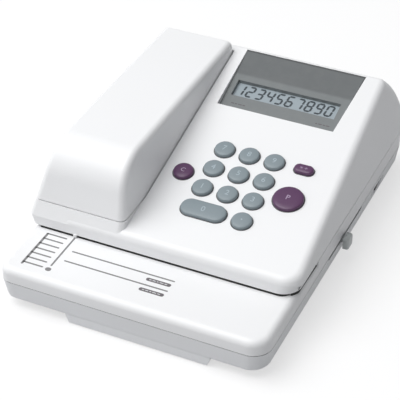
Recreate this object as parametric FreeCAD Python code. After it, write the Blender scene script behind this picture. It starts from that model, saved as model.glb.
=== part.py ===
import FreeCAD, Part
import math
import os

from FreeCAD import Vector

# Keypad check writer, in millimetres. Frame used for modelling: X to the right,
# Y from the front face of the base to the rear, Z up from the desk top.
# Each piece is moved by the same offset when it is written, so that the file
# origin is on the desk, below the middle of the whole machine.

# ---------------------------------------------------------------- clearances
WALL = 2.4              # moulded wall thickness
INNER_ROUND = 1.2       # smallest radius inside a corner
RUN = 0.05              # radial clearance of a shaft in its hole
AIR = 0.3               # clearance between parts that move past each other
SEAT = 0.02             # clearance of a part that is pushed into its seat
SEAM = 0.6              # visible seam between two mouldings
COVER_SEAM = 0.8        # visible seam below the print cover
REACH = 400.0           # far side of cutting tools that go past everything
OVERLAP = 40.0          # depth to which two blocks run into each other before they are joined
LAP = 1.0               # depth to which a small piece runs into the one it is joined to
PRESS = 0.2             # clearance of a part that drops into its place
PUSH = 0.1              # clearance round a flush part

# ---------------------------------------------------------------- base and table
BASE_RIGHT = 98.0       # right side of the base, from the modelling origin
BASE_LEFT = 99.6        # left side of the base, from the modelling origin
BASE_DEPTH = 282.0
BASE_FLOOR = 6.8        # underside of the base
BASE_DRAFT = 2.0        # inward lean of the base walls, from the seam to the floor
BASE_EDGE = 3.0         # radius of the bottom edge
SEAM_Z = 22.0           # seam between the base and the paper table
TABLE_Z = 34.0          # surface of the paper table
TABLE_EDGE = 5.0
TABLE_PLATE = 2.5       # thickness of the table's top
CORNER_RIGHT = 14.0     # plan radius of the right corners
CORNER_LEFT = 9.0       # plan radius of the left corners
THROAT_DEPTH = 94.0     # rear wall of the slot that the paper goes into
THROAT = 2.2            # height of that slot
FRONT_POST_IN = 12.0    # front screw posts, from the side of the base
FRONT_POST_Y = 20.0
FOOT_R = 8.0
FOOT_INSET = 21.0       # foot centre from the side of the base
FOOT_FROM_END = 23.0    # foot centre from the front or rear of the base
FOOT_SEAT = 0.8         # depth of the foot's seat in the floor

# ---------------------------------------------------------------- upper housing
HOUSING_Z = TABLE_Z + THROAT
FRONT_Y = 50.0          # front face of the upper housing
REAR_STEP = 6.0         # from the rear of the housing to the rear of the base
WAIST_OUT = 2.7         # how far the housing's waist overhangs the base
WAIST_UP = 7.8          # height of the waist above the housing's lower edge
SIDE_LEAN = 0.27        # inward lean of the housing's sides, per mm of height
PANEL_Y = 54.6          # point that the panel's plane passes through
PANEL_Z = 49.2
PANEL_EDGE = 6.0        # radius round the panel
REAR_FALL = 26.8        # from the panel's rear edge to the rear wall
REAR_CURVE_DROP = 44.56     # from the panel's rear edge down to the straight rear wall
REAR_CORNER = 9.0       # radius down the rear corners
CREST_EDGE = 3.0        # radius along the panel's rear edge
LIP_Z = 43.5            # where the front below the cover starts to lean
GROOVE = ((56.0, 39.4), (171.5, 43.2))      # ends (y, z) of the groove along the right side
GROOVE_WIDE = 1.0
GROOVE_DEEP = 1.3

# ---------------------------------------------------------------- print cover
COVER_TOP = 98.0
COVER_RISE = 7.44       # top of the cover above the panel's rear edge
COVER_RIGHT = -32.0     # right side of the cover, at its top
COVER_DRAFT = 0.05
COVER_LEAN = 0.21       # backward lean of the cover's front face
COVER_FRONT = 54.05     # front face of the cover, at its lower edge
COVER_BROW = 28.0       # radius between the front face and the top
COVER_EDGE = 4.5
COVER_CORNER_LEFT = 3.2
COVER_CORNER_RIGHT = 5.0
COVER_LOW = 55.5        # lower edge of the cover at the front
COVER_SKIRT = 2.0       # how far the cover reaches below the panel's surface
COVER_TO_CREST = 6.7    # from the cover's rear wall to the panel's rear edge
HINGE_GAP = 1.3         # gap behind the cover's rear wall
HINGE_IN = 3.2          # hinge axis, in front of the inside of the rear wall
HINGE_UP = 1.9          # hinge axis, above the panel's surface
HINGE_PIN_R = 1.25
EAR_R = 2.8
EAR_WIDTH = 4.0
EAR_STATIONS = (-78.0, -50.0)
EAR_ARM = 8.0           # underside of the ear's arm, below the axis, at its rear
EAR_DROP = 12.0         # underside of the ear at its foot, below the axis
LUG_REACH = 3.0         # the cover's lug before and below the axis
NOTCH = (10.0, 2.5)     # notch for the ear, below and above the axis

# ---------------------------------------------------------------- keys and display
KEY_D = 15.0
KEY_GAP_X = 4.15        # gap between two digit keys, across
KEY_GAP_S = 4.65        # gap between two digit keys, up the panel
KEY_FIRST_X = 5.1       # left column of digit keys
KEY_FIRST_S = 33.9      # lowest row, along the panel from its front
KEY_PROUD = 3.0
KEY_ROUND = 1.3         # radius of a key's top edge
KEY_FLANGE = 1.25
KEY_TRAVEL = 1.5
FLANGE_THICK = 1.0
PRINT_KEY_GAP = 3.65    # from the digit keys to the print key
PAD_POST_R = 3.0
PAD_CHIPS = ((30.0, 30.0), (60.0, 30.0))    # chips, from the keypad board's corner
PAD_CHIP = (14.0, 12.0, 2.5)
PAD_PLUG = (24.0, 8.0, 5.0)
PAD_PLUG_IN = 4.0       # plug from the board's rear edge
PRINT_KEY_D = 22.3
SYMBOL_KEY = (15.0, 8.5)
PAD_DEPTH = 5.5         # membrane surface below the panel's surface
PAD_THICK = 1.0
BOARD_THICK = 1.6
PAD_MARGIN = 7.0        # keypad board beyond the outermost keys
WINDOW_FRONT_X = (-20.0, 71.0)      # sides of the window at its front edge
WINDOW_REAR_X = (-21.7, 74.0)       # sides of the window at its rear edge
WINDOW_LENGTH = 61.9
WINDOW_TO_CREST = 1.3
WINDOW_DEPTH = 4.3      # depth of the window plate at its front edge
WINDOW_FLUSH = 0.2      # depth of the window plate at its rear edge
WINDOW_RIM = 1.5
WINDOW_FIT = 0.1        # gap round the window plate
BEZEL_THICK = 2.0
LCD_X = (-15.8, 65.8)
LCD_FROM_WINDOW = 15.2
LCD_LENGTH = 15.6
LCD_WELL = 3.0
LCD_BACK = 5.0          # back of the display's glass below the window plate's surface
LCD_MARGIN = 3.0        # glass beyond the opening
HOLDER_MARGIN = (3.8, 6.0)      # board behind the glass, beyond the opening's sides and ends

# ---------------------------------------------------------------- paper stop
STOP_X = (-20.0, 70.0)  # middle of each finger
STOP_Y = 78.0           # face of the fingers at rest
STOP_BACK = 18.0        # travel towards the front
STOP_ON = 16.0          # travel towards the rear
FINGER = (6.0, 3.0)
STOP_Z = (26.5, 29.5)
STOP_BAR = 13.0         # rear edge of the stop's bar, behind the fingers' face
FINGER_AIR = (0.4, 0.6)     # clearance of a finger in its slot, beside and along
LEVER_Y = 144.0
LEVER_ARM = (77.0, 81.0)
LEVER_SLOT = (116.0, 184.0)
LEVER_Z = (19.7, 21.7)
LEVER_STEM = 6.0
LEVER_AIR = 0.4
KNOB = (4.5, 10.0, 10.0)
KNOB_GAP = 1.7
KNOB_Z = 14.0
KNOB_EDGE = 2.0

# ---------------------------------------------------------------- print head
GEAR_MODULE = 0.8
PRESSURE_ANGLE = 20.0
TOOTH_OUT = 0.75        # addendum, in modules
TOOTH_IN = 1.05         # dedendum, in modules
BACKLASH = 0.18
PRINT_TEETH = 57
FEED_TEETH = 27
SMALL_TEETH = 14
LARGE_TEETH = 36
PINION_TEETH = 12
ROLLER_R = 8.0
ROLLER_PROUD = 0.2      # rollers above the table surface
ROLLER_AIR = 0.8        # clearance before and behind a roller in the table
FEED_WIDER = 4.0        # how far the feed roller reaches before the platen roller
WINDOW_HALF = 7.2       # half width of the rollers' windows in the table
TYPE_WINDOW = 11.5      # half width of the type wheel's window in the guide
PINCH_WINDOW = 7.5      # half width of the pinch roller's window in the guide
TYPE_R = 16.8
TYPE_BODY_R = 15.0
TYPE_POSITIONS = 15
TYPE_WIDE = 4.4
GEAR_HOLES = (5, 13.0, 4.5)     # holes in the print gear's disc: how many, how far out, radius
TYPE_BLANKS = 2         # positions without a type block, at the bottom at rest
PRINT_X = -62.0
PAPER_GAP = 0.3         # between the type and the platen roller
PRINT_Y = (70.0, 80.0)
PINCH_R = 6.0
INK_R = 7.0
INK_ANGLE = 109.8       # direction of the ink roller from the type wheel
PLATE = 2.0
FRONT_PLATE_Y = 66.0
MIDDLE_PLATE_Y = 110.0
MOTOR_PLATE_Y = 128.0
GEAR_A = (114.0, 120.0)
GEAR_B = (122.0, 126.0)
GUIDE_THICK = 1.5
PRINT_SHAFT_R = 3.0
FEED_SHAFT_R = 2.5
AXLE_R = 2.0            # platen shaft and reduction gear axle
THIN_SHAFT_R = 1.5
BUSH_R = 5.0
CRADLE_X = (-78.0, -27.0)
CRADLE_Y = (62.0, 88.0)
HOLDER_X = (-44.3, -35.0)
HOLDER_Y = (68.6, 79.4)
FORK_RISE = 3.8         # top of the pinch fork above the pinch roller
BRACKET_RISE = 10.0     # fork bracket above the pinch roller
STEM_R = 2.2
SPRING_R = 3.1
SPRING_WIRE_R = 0.35
SPRING_TURNS = 4
MOTOR_R = 14.0
MOTOR_EDGE = 1.5
MOTOR_BOSS_R = 4.0
MOTOR_TAIL = (3.0, 2.5)     # radius and length of the rear bearing's cap
MOTOR_SHAFT_R = 1.0
MOTOR_BOSS_IN = 0.4     # boss short of the plate's far face
HUB_R = 3.6             # hub between the two gears of the reduction
SPACER_R = 2.0
FRONT_SPACERS = ((15.5, 8.7), (-8.0, -24.0))    # spacers, from the outline points named in frame_spacers
REAR_SPACERS = ((12.5, 8.7), (-4.0, -2.5), (18.0, -13.0), (-5.3, -10.0))
FRAME_IN = 10.0         # rear plates from the left side of the base
FRAME_BELOW = 7.0       # rear plates below the cover's top
FRAME_WAIST = (50.0, 62.0)      # heights between which the rear plates narrow
FRAME_SLANT = (5.0, 26.0)       # sloped corner of the rear plates
FRONT_PLATE_IN = 13.0   # front plate from the left side of the base
FRONT_PLATE_TOP = 80.0
FRONT_PLATE_SLANT = (6.0, 12.0)
FRONT_PLATE_WAIST = 56.0
FLANGE = (1.5, 1.0)     # width and thickness of a bush's flange
INK_ARM = 6.0           # half width of the ink roller's holder
INK_ARM_THICK = 1.5
FORK_TOP = 3.0
FORK_END = 2.4          # fork arms below the pinch roller's axis
STEM_ABOVE = 4.5        # stem above the underside of its bracket
BRACKET_THICK = 2.0
BRACKET_TAB = 8.0
MOTOR_LENGTH = 35.0
SMALL_GEAR_ANGLE = 70.0     # direction of the reduction gear from the print shaft
PINION_ANGLE = 200.1        # direction of the pinion from the reduction gear

# ---------------------------------------------------------------- power
CELL_R = 13.1
CELL_LENGTH = 50.0
BOX_X = (-46.1, 55.4)
BOX_Y = (3.7, 57.7)
BOX_WALL = 1.6
PLINTH_SLANT = 3.0      # slope of the plinth's ends, from the base's floor to its foot
PLINTH_Z = 1.0
DOOR_Z = (1.9, 3.6)
DOOR_LIP = 2.0
GRIP = (-6.4, 17.6, 8.0)    # grip lines of the door: sides, and from its front
GRIP_LINES = 4
GRIP_WIDE = 1.2
CELL_GAP = 0.4          # gap between a cell and the compartment's wall
CELL_CAP = (3.3, 1.6)   # radius and height of a cell's positive end
CONTACT = (16.0, 18.0)
JACK_X = 60.0
JACK_Z = 14.5
JACK_R = 1.8
JACK_DEPTH = 12.0
SWITCH_Y = (213.0, 230.0)
SWITCH_Z = (12.8, 18.4)
SWITCH_TRAVEL = 4.0
SWITCH_SINK = 1.6       # depth of the switch's window
SWITCH_RIM = 0.6        # ledge above and below the way through it
SWITCH_NUB = 4.4        # length of the nub
SWITCH_NUB_AT = 6.0     # its middle, from the front of the window
SWITCH_IN = (2.2, 11.0)     # switch's body, from the wall's inner face
RIBBON = (0.6, 8.0, 18.0)   # thickness, inner bend and width of the flat cable
RIBBON_X = 78.0         # cable's middle, from the main board's left edge
RIBBON_Y = 11.0         # cable's foot, from the board's front edge
JACK_HALF = 5.5         # half width of the inlet's body
JACK_ABOVE = 5.0        # top of that body above the inlet's axis
HEAD_DEPTH = 2.0        # seat of a case screw's head, above the floor
BOARD_X = (-28.0, 80.0)
BOARD_Y = (132.0, 230.0)
BOARD_Z = 14.0
BOARD_BLOCKS = (        # two chips and the cable socket: x, y, width, length, height
    (30, 30, 28, 14, 3.0),
    (20, 54, 30, 12, 3.0),
    (66, 8, 24, 6, 8.0),
)
BOARD_CANS = (          # capacitors: x, y, height, radius
    (14, 24, 12.0, 4.0),
    (14, 38, 12.0, 4.0),
    (14, 52, 12.0, 4.0),
    (14, 66, 12.0, 4.0),
    (74, 78, 8.0, 3.0),
    (83, 78, 8.0, 3.0),
    (92, 78, 8.0, 3.0),
)
SCREW_R = 1.5
SCREW_BITE = 0.2        # radius by which a thread's hole is smaller than the screw
SCREW_FREE = 0.2        # radius by which a passing hole is larger than the screw
SHANK_FIT = 0.3         # radius by which a shank is drawn smaller than its screw
SCREW_HEAD = (2.6, 1.8)     # radius and height of a board screw's head
BOSS_R = 4.0
HEAD_R = 2.7            # radius of a case screw's head
POST_TOP = 48.0         # top of the posts inside the upper housing
POST_IN = 10.0          # posts from the side of the base
POST_BEHIND = 8.0       # front pair of posts, behind the paper slot
POST_BEFORE = 14.0      # rear pair of posts, before the rear wall
RIB = 2.0               # thickness of the ribs beside the posts
STAND = 3.0             # thickness of the stands that press on the paper guide
STAND_IN = 5.0          # stands from the guide's sides
STAND_Y = 10.0          # stands from the front wall and from the end of the slot

# ---------------------------------------------------------------- derived
FLOOR_TOP = BASE_FLOOR + WALL
REAR_Y = BASE_DEPTH - REAR_STEP
BEHIND = REAR_Y + OVERLAP
ABOVE = COVER_TOP + OVERLAP
CREST_Y = REAR_Y - REAR_FALL
CREST_Z = COVER_TOP - COVER_RISE
REAR_CURVE_Z = CREST_Z - REAR_CURVE_DROP
SLOPE = math.atan((CREST_Z - PANEL_Z) / (CREST_Y - PANEL_Y))
COVER_REAR = CREST_Y - COVER_TO_CREST
WAIST_Z = HOUSING_Z + WAIST_UP
ROLLER_Z = TABLE_Z + ROLLER_PROUD - ROLLER_R
PRINT_Z = TABLE_Z + ROLLER_PROUD + PAPER_GAP + TYPE_R
PINCH_Z = TABLE_Z + ROLLER_PROUD + PAPER_GAP + PINCH_R
GUIDE_TOP = HOUSING_Z + GUIDE_THICK
BRACKET_Z = PINCH_Z + PINCH_R + BRACKET_RISE
KEY_PITCH_X = KEY_D + KEY_GAP_X
KEY_PITCH_S = KEY_D + KEY_GAP_S
PANEL_LENGTH = (CREST_Y - PANEL_Y) / math.cos(SLOPE)
WINDOW_S = (PANEL_LENGTH - WINDOW_TO_CREST - WINDOW_LENGTH, PANEL_LENGTH - WINDOW_TO_CREST)
LCD_S = (WINDOW_S[0] + LCD_FROM_WINDOW, WINDOW_S[0] + LCD_FROM_WINDOW + LCD_LENGTH)
LEFT, RIGHT = -1, 1
GUIDE_SIDE = {LEFT: BASE_LEFT - WALL - 3, RIGHT: BASE_RIGHT - WALL - 3}
DOC = FreeCAD.newDocument()


# ---------------------------------------------------------------- small helpers
def box(x0, x1, y0, y1, z0, z1):
    return Part.makeBox(x1 - x0, y1 - y0, z1 - z0, Vector(x0, y0, z0))


def rod_x(x0, x1, y, z, radius):
    return Part.makeCylinder(radius, x1 - x0, Vector(x0, y, z), Vector(1, 0, 0))


def rod_y(x, y0, y1, z, radius):
    return Part.makeCylinder(radius, y1 - y0, Vector(x, y0, z), Vector(0, 1, 0))


def rod_z(x, y, z0, z1, radius):
    return Part.makeCylinder(radius, z1 - z0, Vector(x, y, z0), Vector(0, 0, 1))


def fuse(shapes):
    shapes = list(shapes)
    if len(shapes) == 1:
        return shapes[0]
    return shapes[0].multiFuse(shapes[1:]).removeSplitter()


def joined(shape, parts):
    """Shape with parts fused to it, its faces left as they are."""
    for part in parts:
        shape = shape.fuse(part)
    return shape


def group(shapes):
    return Part.makeCompound(list(shapes))


def solid(shape):
    """The one solid inside a boolean's result."""
    return max(shape.Solids, key=lambda part: part.Volume)


def corner(a, b, c, radius):
    """Start, middle and end of the arc that rounds corner b of the path a, b, c."""
    first, middle, last = (Vector(p[0], p[1], 0) for p in (a, b, c))
    back = (first - middle).normalize()
    onward = (last - middle).normalize()
    turn = back.getAngle(onward)
    reach = radius / math.tan(turn / 2)
    inward = (back + onward).normalize()
    centre = middle + inward * (radius / math.sin(turn / 2))
    points = (middle + back * reach, centre - inward * radius, middle + onward * reach)
    return tuple((p.x, p.y) for p in points)


def outline(points, place):
    """Closed wire from points and ("arc", middle, end) entries, placed by place(u, v)."""
    edges = []
    start = here = place(*points[0])
    for point in points[1:]:
        if point[0] == "arc":
            end = place(*point[2])
            edges.append(Part.Arc(here, place(*point[1]), end).toShape())
        else:
            end = place(*point)
            edges.append(Part.makeLine(here, end))
        here = end
    if here.distanceToPoint(start) > 1e-6:
        edges.append(Part.makeLine(here, start))
    return Part.Wire(edges)


def side_prism(points, x0, x1):
    """Solid with the side view (y, z) of points, from x0 to x1."""
    face = Part.Face(outline(points, lambda y, z: Vector(x0, y, z)))
    return face.extrude(Vector(x1 - x0, 0, 0))


def front_prism(points, y0, y1):
    """Solid with the front view (x, z) of points, from y0 to y1."""
    face = Part.Face(outline(points, lambda x, z: Vector(x, y0, z)))
    return face.extrude(Vector(0, y1 - y0, 0))


def plan_prism(points, z0, z1):
    """Solid with the plan view (x, y) of points, from z0 to z1."""
    face = Part.Face(outline(points, lambda x, y: Vector(x, y, z0)))
    return face.extrude(Vector(0, 0, z1 - z0))


def edges_where(shape, test):
    return [edge for edge in shape.Edges if test(edge, edge.CenterOfMass, edge.BoundBox)]


def rounded(shape, choices):
    """Fillet with its own pair of radii on each edge: (edge number, first, last)."""
    base = DOC.addObject("Part::Feature", "base")
    base.Shape = shape
    fillet = DOC.addObject("Part::Fillet", "fillet")
    fillet.Base = base
    fillet.Edges = choices
    DOC.recompute()
    result = fillet.Shape.copy()
    DOC.removeObject(fillet.Name)
    DOC.removeObject(base.Name)
    return result


def panel_z(y, below=0.0):
    """Height of the key panel's surface at y, or of a plane below it."""
    return PANEL_Z + (y - PANEL_Y) * math.tan(SLOPE) - below / math.cos(SLOPE)


def on_panel(shape, x=0.0, s=0.0):
    """Shape drawn flat about its own origin, laid on the panel at x and s."""
    shape.rotate(Vector(0, 0, 0), Vector(1, 0, 0), math.degrees(SLOPE))
    shape.translate(Vector(x, PANEL_Y + s * math.cos(SLOPE), PANEL_Z + s * math.sin(SLOPE)))
    return shape


def pill(width, depth, z0, z1):
    """Upright solid with a round or lozenge-shaped plan about the origin."""
    radius = depth / 2
    if width <= depth + 0.001:
        return rod_z(0, 0, z0, z1, radius)
    half = width / 2 - radius
    plan = [(-half, -radius), (half, -radius), ("arc", (half + radius, 0), (half, radius)),
            (-half, radius), ("arc", (-half - radius, 0), (-half, -radius))]
    return plan_prism(plan, z0, z1)


# ---------------------------------------------------------------- casing blocks
def rounded_plan(inset=0.0, z0=0.0, z1=1.0):
    """Upright block with the base's plan, walls moved in by inset."""
    x0, x1 = inset - BASE_LEFT, BASE_RIGHT - inset
    y0, y1 = inset, BASE_DEPTH - inset
    block = box(x0, x1, y0, y1, z0, z1)
    for x, radius in ((x0, CORNER_LEFT), (x1, CORNER_RIGHT)):
        upright = edges_where(block, lambda e, c, b: b.ZLength > 0.99 * (z1 - z0) and abs(c.x - x) < 0.01)
        block = block.makeFillet(max(radius - inset, 0.5), upright)
    return block


def base_block(inset=0.0, top=SEAM_Z):
    """Tray block whose walls lean in towards the floor."""
    lean = BASE_DRAFT / (SEAM_Z - BASE_FLOOR)
    low = BASE_FLOOR + inset
    levels = [(low, inset + lean * (SEAM_Z - low)), (SEAM_Z, inset)]
    rings = []
    for z, move in levels:
        x0, x1 = move - BASE_LEFT, BASE_RIGHT - move
        y0, y1 = move, BASE_DEPTH - move
        rings.append(Part.makePolygon([Vector(*p, z) for p in
                                       ((x0, y0), (x1, y0), (x1, y1), (x0, y1), (x0, y0))]))
    block = Part.makeLoft(rings, True, True)
    for side, radius in ((LEFT, CORNER_LEFT), (RIGHT, CORNER_RIGHT)):
        leaning = edges_where(block, lambda e, c, b: b.ZLength > 1 and c.x * side > 0)
        block = block.makeFillet(max(radius - inset, 0.5), leaning)
    brim = edges_where(block, lambda e, c, b: b.ZMax < low + 0.01)
    block = block.makeFillet(max(BASE_EDGE - inset, 0.6), brim)
    if top > SEAM_Z:
        block = fuse([block, rounded_plan(inset, SEAM_Z, top)])
    return block


def half_width(side, z, inset=0.0):
    """Half width of the upper housing at height z."""
    base = BASE_LEFT if side == LEFT else BASE_RIGHT
    return base + WAIST_OUT - SIDE_LEAN * (z - WAIST_Z) - inset


def cover_right(z, inset=0.0):
    return COVER_RIGHT + COVER_DRAFT * (COVER_TOP - z) - inset


def rear_curve():
    """Centre (y) and radius of the curve between the rear wall and the panel."""
    drop = panel_z(CREST_Y) - REAR_CURVE_Z
    radius = (REAR_FALL ** 2 + drop ** 2) / (2 * REAR_FALL)
    return REAR_Y - radius, radius


def on_rear(point, inset):
    """Whether a point lies on the rear surface of the housing."""
    centre, radius = rear_curve()
    up = max(0.0, point.z - REAR_CURVE_Z)
    return abs(math.hypot(point.y - centre, up) - (radius - inset)) < 0.05


def rear_prism(inset):
    """Everything in front of the curved rear of the upper housing."""
    centre, radius = rear_curve()
    reach = radius - inset
    top = math.asin(min(0.98, (COVER_TOP - REAR_CURVE_Z) / reach))
    bend = [(centre + reach * math.cos(a), REAR_CURVE_Z + reach * math.sin(a)) for a in (0, top / 2, top)]
    profile = [(0, 0), (REAR_Y - inset, 0), bend[0], ("arc", bend[1], bend[2]), (0, bend[2][1])]
    return side_prism(profile, -REACH, REACH)


def panel_block(inset, floor):
    """Right part of the upper housing: sloping panel, rounded front and right side."""
    high, left = ABOVE, COVER_RIGHT - OVERLAP
    section = [(left, floor), (half_width(RIGHT, floor, inset), floor),
               (half_width(RIGHT, high, inset), high), (left, high)]
    block = front_prism(section, FRONT_Y + inset, BEHIND)
    upright = edges_where(block, lambda e, c, b: c.x > 0 and b.YLength < 0.01
                          and b.ZLength > 1 and c.y < FRONT_Y + 40)
    block = block.makeFillet(CORNER_RIGHT - inset, upright)
    below = [(0, 0), (0, panel_z(0, inset)), (BEHIND, panel_z(BEHIND, inset)), (BEHIND, 0)]
    block = block.common(side_prism(below, -REACH, REACH))
    brim = edges_where(block, lambda e, c, b: c.x > left + 1 and not (b.YLength < 0.01 and c.y > REAR_Y)
                       and all(abs(v.Z - panel_z(v.Y, inset)) < 0.05 for v in e.Vertexes))
    return solid(block.makeFillet(PANEL_EDGE - inset, brim))


def cover_bed(inset, floor):
    """Left part of the upper housing, which carries the print cover."""
    high = ABOVE
    front = FRONT_Y + inset
    lean_end = COVER_FRONT + inset
    shelf = COVER_LOW + 2 * inset
    turn = PANEL_Y + (shelf - panel_z(PANEL_Y, inset)) / math.tan(SLOPE)
    profile = [(front, floor), (front, LIP_Z), (lean_end, COVER_LOW), (lean_end, shelf), (turn, shelf),
               (BEHIND, panel_z(BEHIND, inset)), (BEHIND, floor)]
    if not inset:
        profile.remove((lean_end, shelf))
    section = [(-half_width(LEFT, floor, inset), floor), (cover_right(floor, inset), floor),
               (cover_right(high, inset), high), (-half_width(LEFT, high, inset), high)]
    block = side_prism(profile, -REACH, 0).common(front_prism(section, 0, REACH))
    for side, radius in ((LEFT, COVER_CORNER_LEFT), (RIGHT, COVER_CORNER_RIGHT)):
        middle = (cover_right(LIP_Z) - half_width(LEFT, LIP_Z)) / 2
        fronts = edges_where(block, lambda e, c, b: (c.x - middle) * side > 0 and b.ZLength > 1
                             and c.y < lean_end + 0.01)
        block = block.makeFillet(max(radius - inset, 0.6), fronts)
    return block


def skirt(side, base, radius, inset):
    """One half of the housing below its waist, its side leaning in towards its foot."""
    waist = base + WAIST_OUT - inset
    ends = (FRONT_Y + inset, REAR_Y - inset)
    front = corner((0, ends[0]), (waist, ends[0]), (waist, ends[1]), max(radius - inset, 0.6))
    rear = corner((waist, ends[0]), (waist, ends[1]), (0, ends[1]), REAR_CORNER - inset)
    plan = outline([(-OVERLAP, ends[0]), front[0], ("arc", front[1], front[2]),
                    rear[0], ("arc", rear[1], rear[2]), (-OVERLAP, ends[1])],
                   lambda x, y: Vector(side * x, y, WAIST_Z))
    return Part.Face(plan).extrude(Vector(-2 * side * WAIST_OUT, 0, -2 * WAIST_UP))


def tucked(block, inset):
    """Block with its lower sides and corners pulled in below the waist."""
    left = skirt(LEFT, BASE_LEFT, COVER_CORNER_LEFT, inset)
    right = skirt(RIGHT, BASE_RIGHT, CORNER_RIGHT, inset)
    outside = box(-REACH, REACH, 0, REACH, HOUSING_Z - WAIST_UP, WAIST_Z).cut(left.fuse(right))
    return block.cut(outside)


def cover_low_line(drop, rear):
    """Side view of everything above the cover's lower edge, moved down by drop."""
    low = COVER_LOW - drop
    skirt = COVER_SKIRT + drop
    turn = PANEL_Y + (low - PANEL_Z + skirt / math.cos(SLOPE)) / math.tan(SLOPE)
    high = ABOVE + OVERLAP
    return [(0, low), (turn, low), (rear, panel_z(rear, skirt)), (rear, high), (0, high)]


def cover_room():
    """Space that the print cover takes out of the upper housing."""
    section = [(-REACH, 0), (cover_right(0) + COVER_SEAM, 0),
               (cover_right(ABOVE) + COVER_SEAM, ABOVE), (-REACH, ABOVE)]
    above = side_prism(cover_low_line(COVER_SEAM, COVER_REAR + HINGE_GAP), -REACH, 0)
    return above.common(front_prism(section, 0, REAR_Y)).fuse(heel(COVER_SEAM))


# ---------------------------------------------------------------- print cover
def cover_block(inset):
    """Raised block of the print cover, with its rounded brow and edges."""
    foot = COVER_LOW - 10
    slant = inset * math.hypot(1, COVER_LEAN)

    def front(z):
        return COVER_FRONT + COVER_LEAN * (z - COVER_LOW) + slant

    top, rear = COVER_TOP - inset, COVER_REAR - inset
    start, middle, end = corner((front(foot), foot), (front(top), top), (rear, top), COVER_BROW - inset)
    profile = [(front(foot), foot), start, ("arc", middle, end), (rear, top), (rear, foot)]
    high = ABOVE
    section = [(-half_width(LEFT, foot, inset), foot), (cover_right(foot, inset), foot),
               (cover_right(high, inset), high), (-half_width(LEFT, high, inset), high)]
    block = side_prism(profile, -REACH, 0).common(front_prism(section, 0, REAR_Y))
    choices = []
    for number, edge in enumerate(block.Edges, 1):
        centre, bounds = edge.CenterOfMass, edge.BoundBox
        ends = [v.Point for v in edge.Vertexes]
        on_left = all(abs(p.x + half_width(LEFT, p.z, inset)) < 0.01 for p in ends)
        on_right = all(abs(p.x - cover_right(p.z, inset)) < 0.01 for p in ends)
        if bounds.ZMax < foot + 0.01 or centre.y > rear - 0.1 or not (on_left or on_right):
            continue
        low_radius = max((COVER_CORNER_LEFT if on_left else COVER_CORNER_RIGHT) - inset, INNER_ROUND)
        top_radius = COVER_EDGE - inset
        if bounds.ZLength < 0.01:
            radii = (top_radius, top_radius)
        elif edge.Curve.TypeId == "Part::GeomLine":
            radii = (low_radius, low_radius)
        elif edge.firstVertex(True).Point.z < edge.lastVertex(True).Point.z:
            radii = (low_radius, top_radius)
        else:
            radii = (top_radius, low_radius)
        choices.append((number,) + radii)
    block = rounded(block, choices)
    rear_top = edges_where(block, lambda e, c, b: b.YMin > rear - 0.01 and b.ZMin > top - 0.01)
    return block if inset else block.makeFillet(2.0, rear_top)


def hinge_axis():
    return COVER_REAR - WALL - HINGE_IN, panel_z(COVER_REAR) + HINGE_UP


def heel(grow):
    """Round about the hinge that the cover's rear lower edge follows, across the whole cover."""
    y, z = hinge_axis()
    return rod_x(-REACH, cover_right(z) + grow, y, z, COVER_REAR - y + grow)


def behind_hinge():
    """Everything behind and below the hinge."""
    y, z = hinge_axis()
    return box(-REACH, REACH, y, REACH, -REACH, z)


def print_cover():
    shell = cover_block(0.0).cut(cover_block(WALL))
    shell = shell.common(side_prism(cover_low_line(0.0, COVER_REAR + 1), -REACH, 0))
    shell = shell.cut(behind_hinge().cut(heel(0.0)))
    y, z = hinge_axis()
    pieces = [shell]
    for x in EAR_STATIONS:
        pieces.append(box(x + EAR_WIDTH + AIR, x + 2 * EAR_WIDTH, y - LUG_REACH, COVER_REAR - WALL / 2,
                          z - LUG_REACH, COVER_TOP - WALL / 2))
    cover = fuse(pieces)
    for x in EAR_STATIONS:
        notch = box(x - 2 * AIR, x + EAR_WIDTH + AIR, y + EAR_R, COVER_REAR + LAP, z - NOTCH[0], z + NOTCH[1])
        cover = cover.cut(notch)
        cover = cover.cut(rod_x(x + EAR_WIDTH, x + 2 * EAR_WIDTH + LAP, y, z, HINGE_PIN_R + SEAT))
    return cover


def hinge_pins():
    y, z = hinge_axis()
    return group(rod_x(x, x + 2 * EAR_WIDTH, y, z, HINGE_PIN_R) for x in EAR_STATIONS)


def hinge_ears():
    """Two ears of the housing, reaching forward under the cover's rear wall."""
    y, z = hinge_axis()
    wall = COVER_REAR + HINGE_GAP
    root = panel_z(COVER_REAR)
    low = z - EAR_DROP
    profile = [(wall + 6, root - 1), (wall, z - 5), (wall - 1, z - EAR_ARM), (y + EAR_R, z - EAR_ARM),
               (y + EAR_R, z), ("arc", (y, z + EAR_R), (y - EAR_R, z)), (y - EAR_R, low), (CREST_Y + 4, low),
               (CREST_Y + 4, root - 4)]
    bore = rod_x(-REACH, REACH, y, z, HINGE_PIN_R + RUN)
    return [side_prism(profile, x, x + EAR_WIDTH).cut(bore) for x in EAR_STATIONS]


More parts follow.
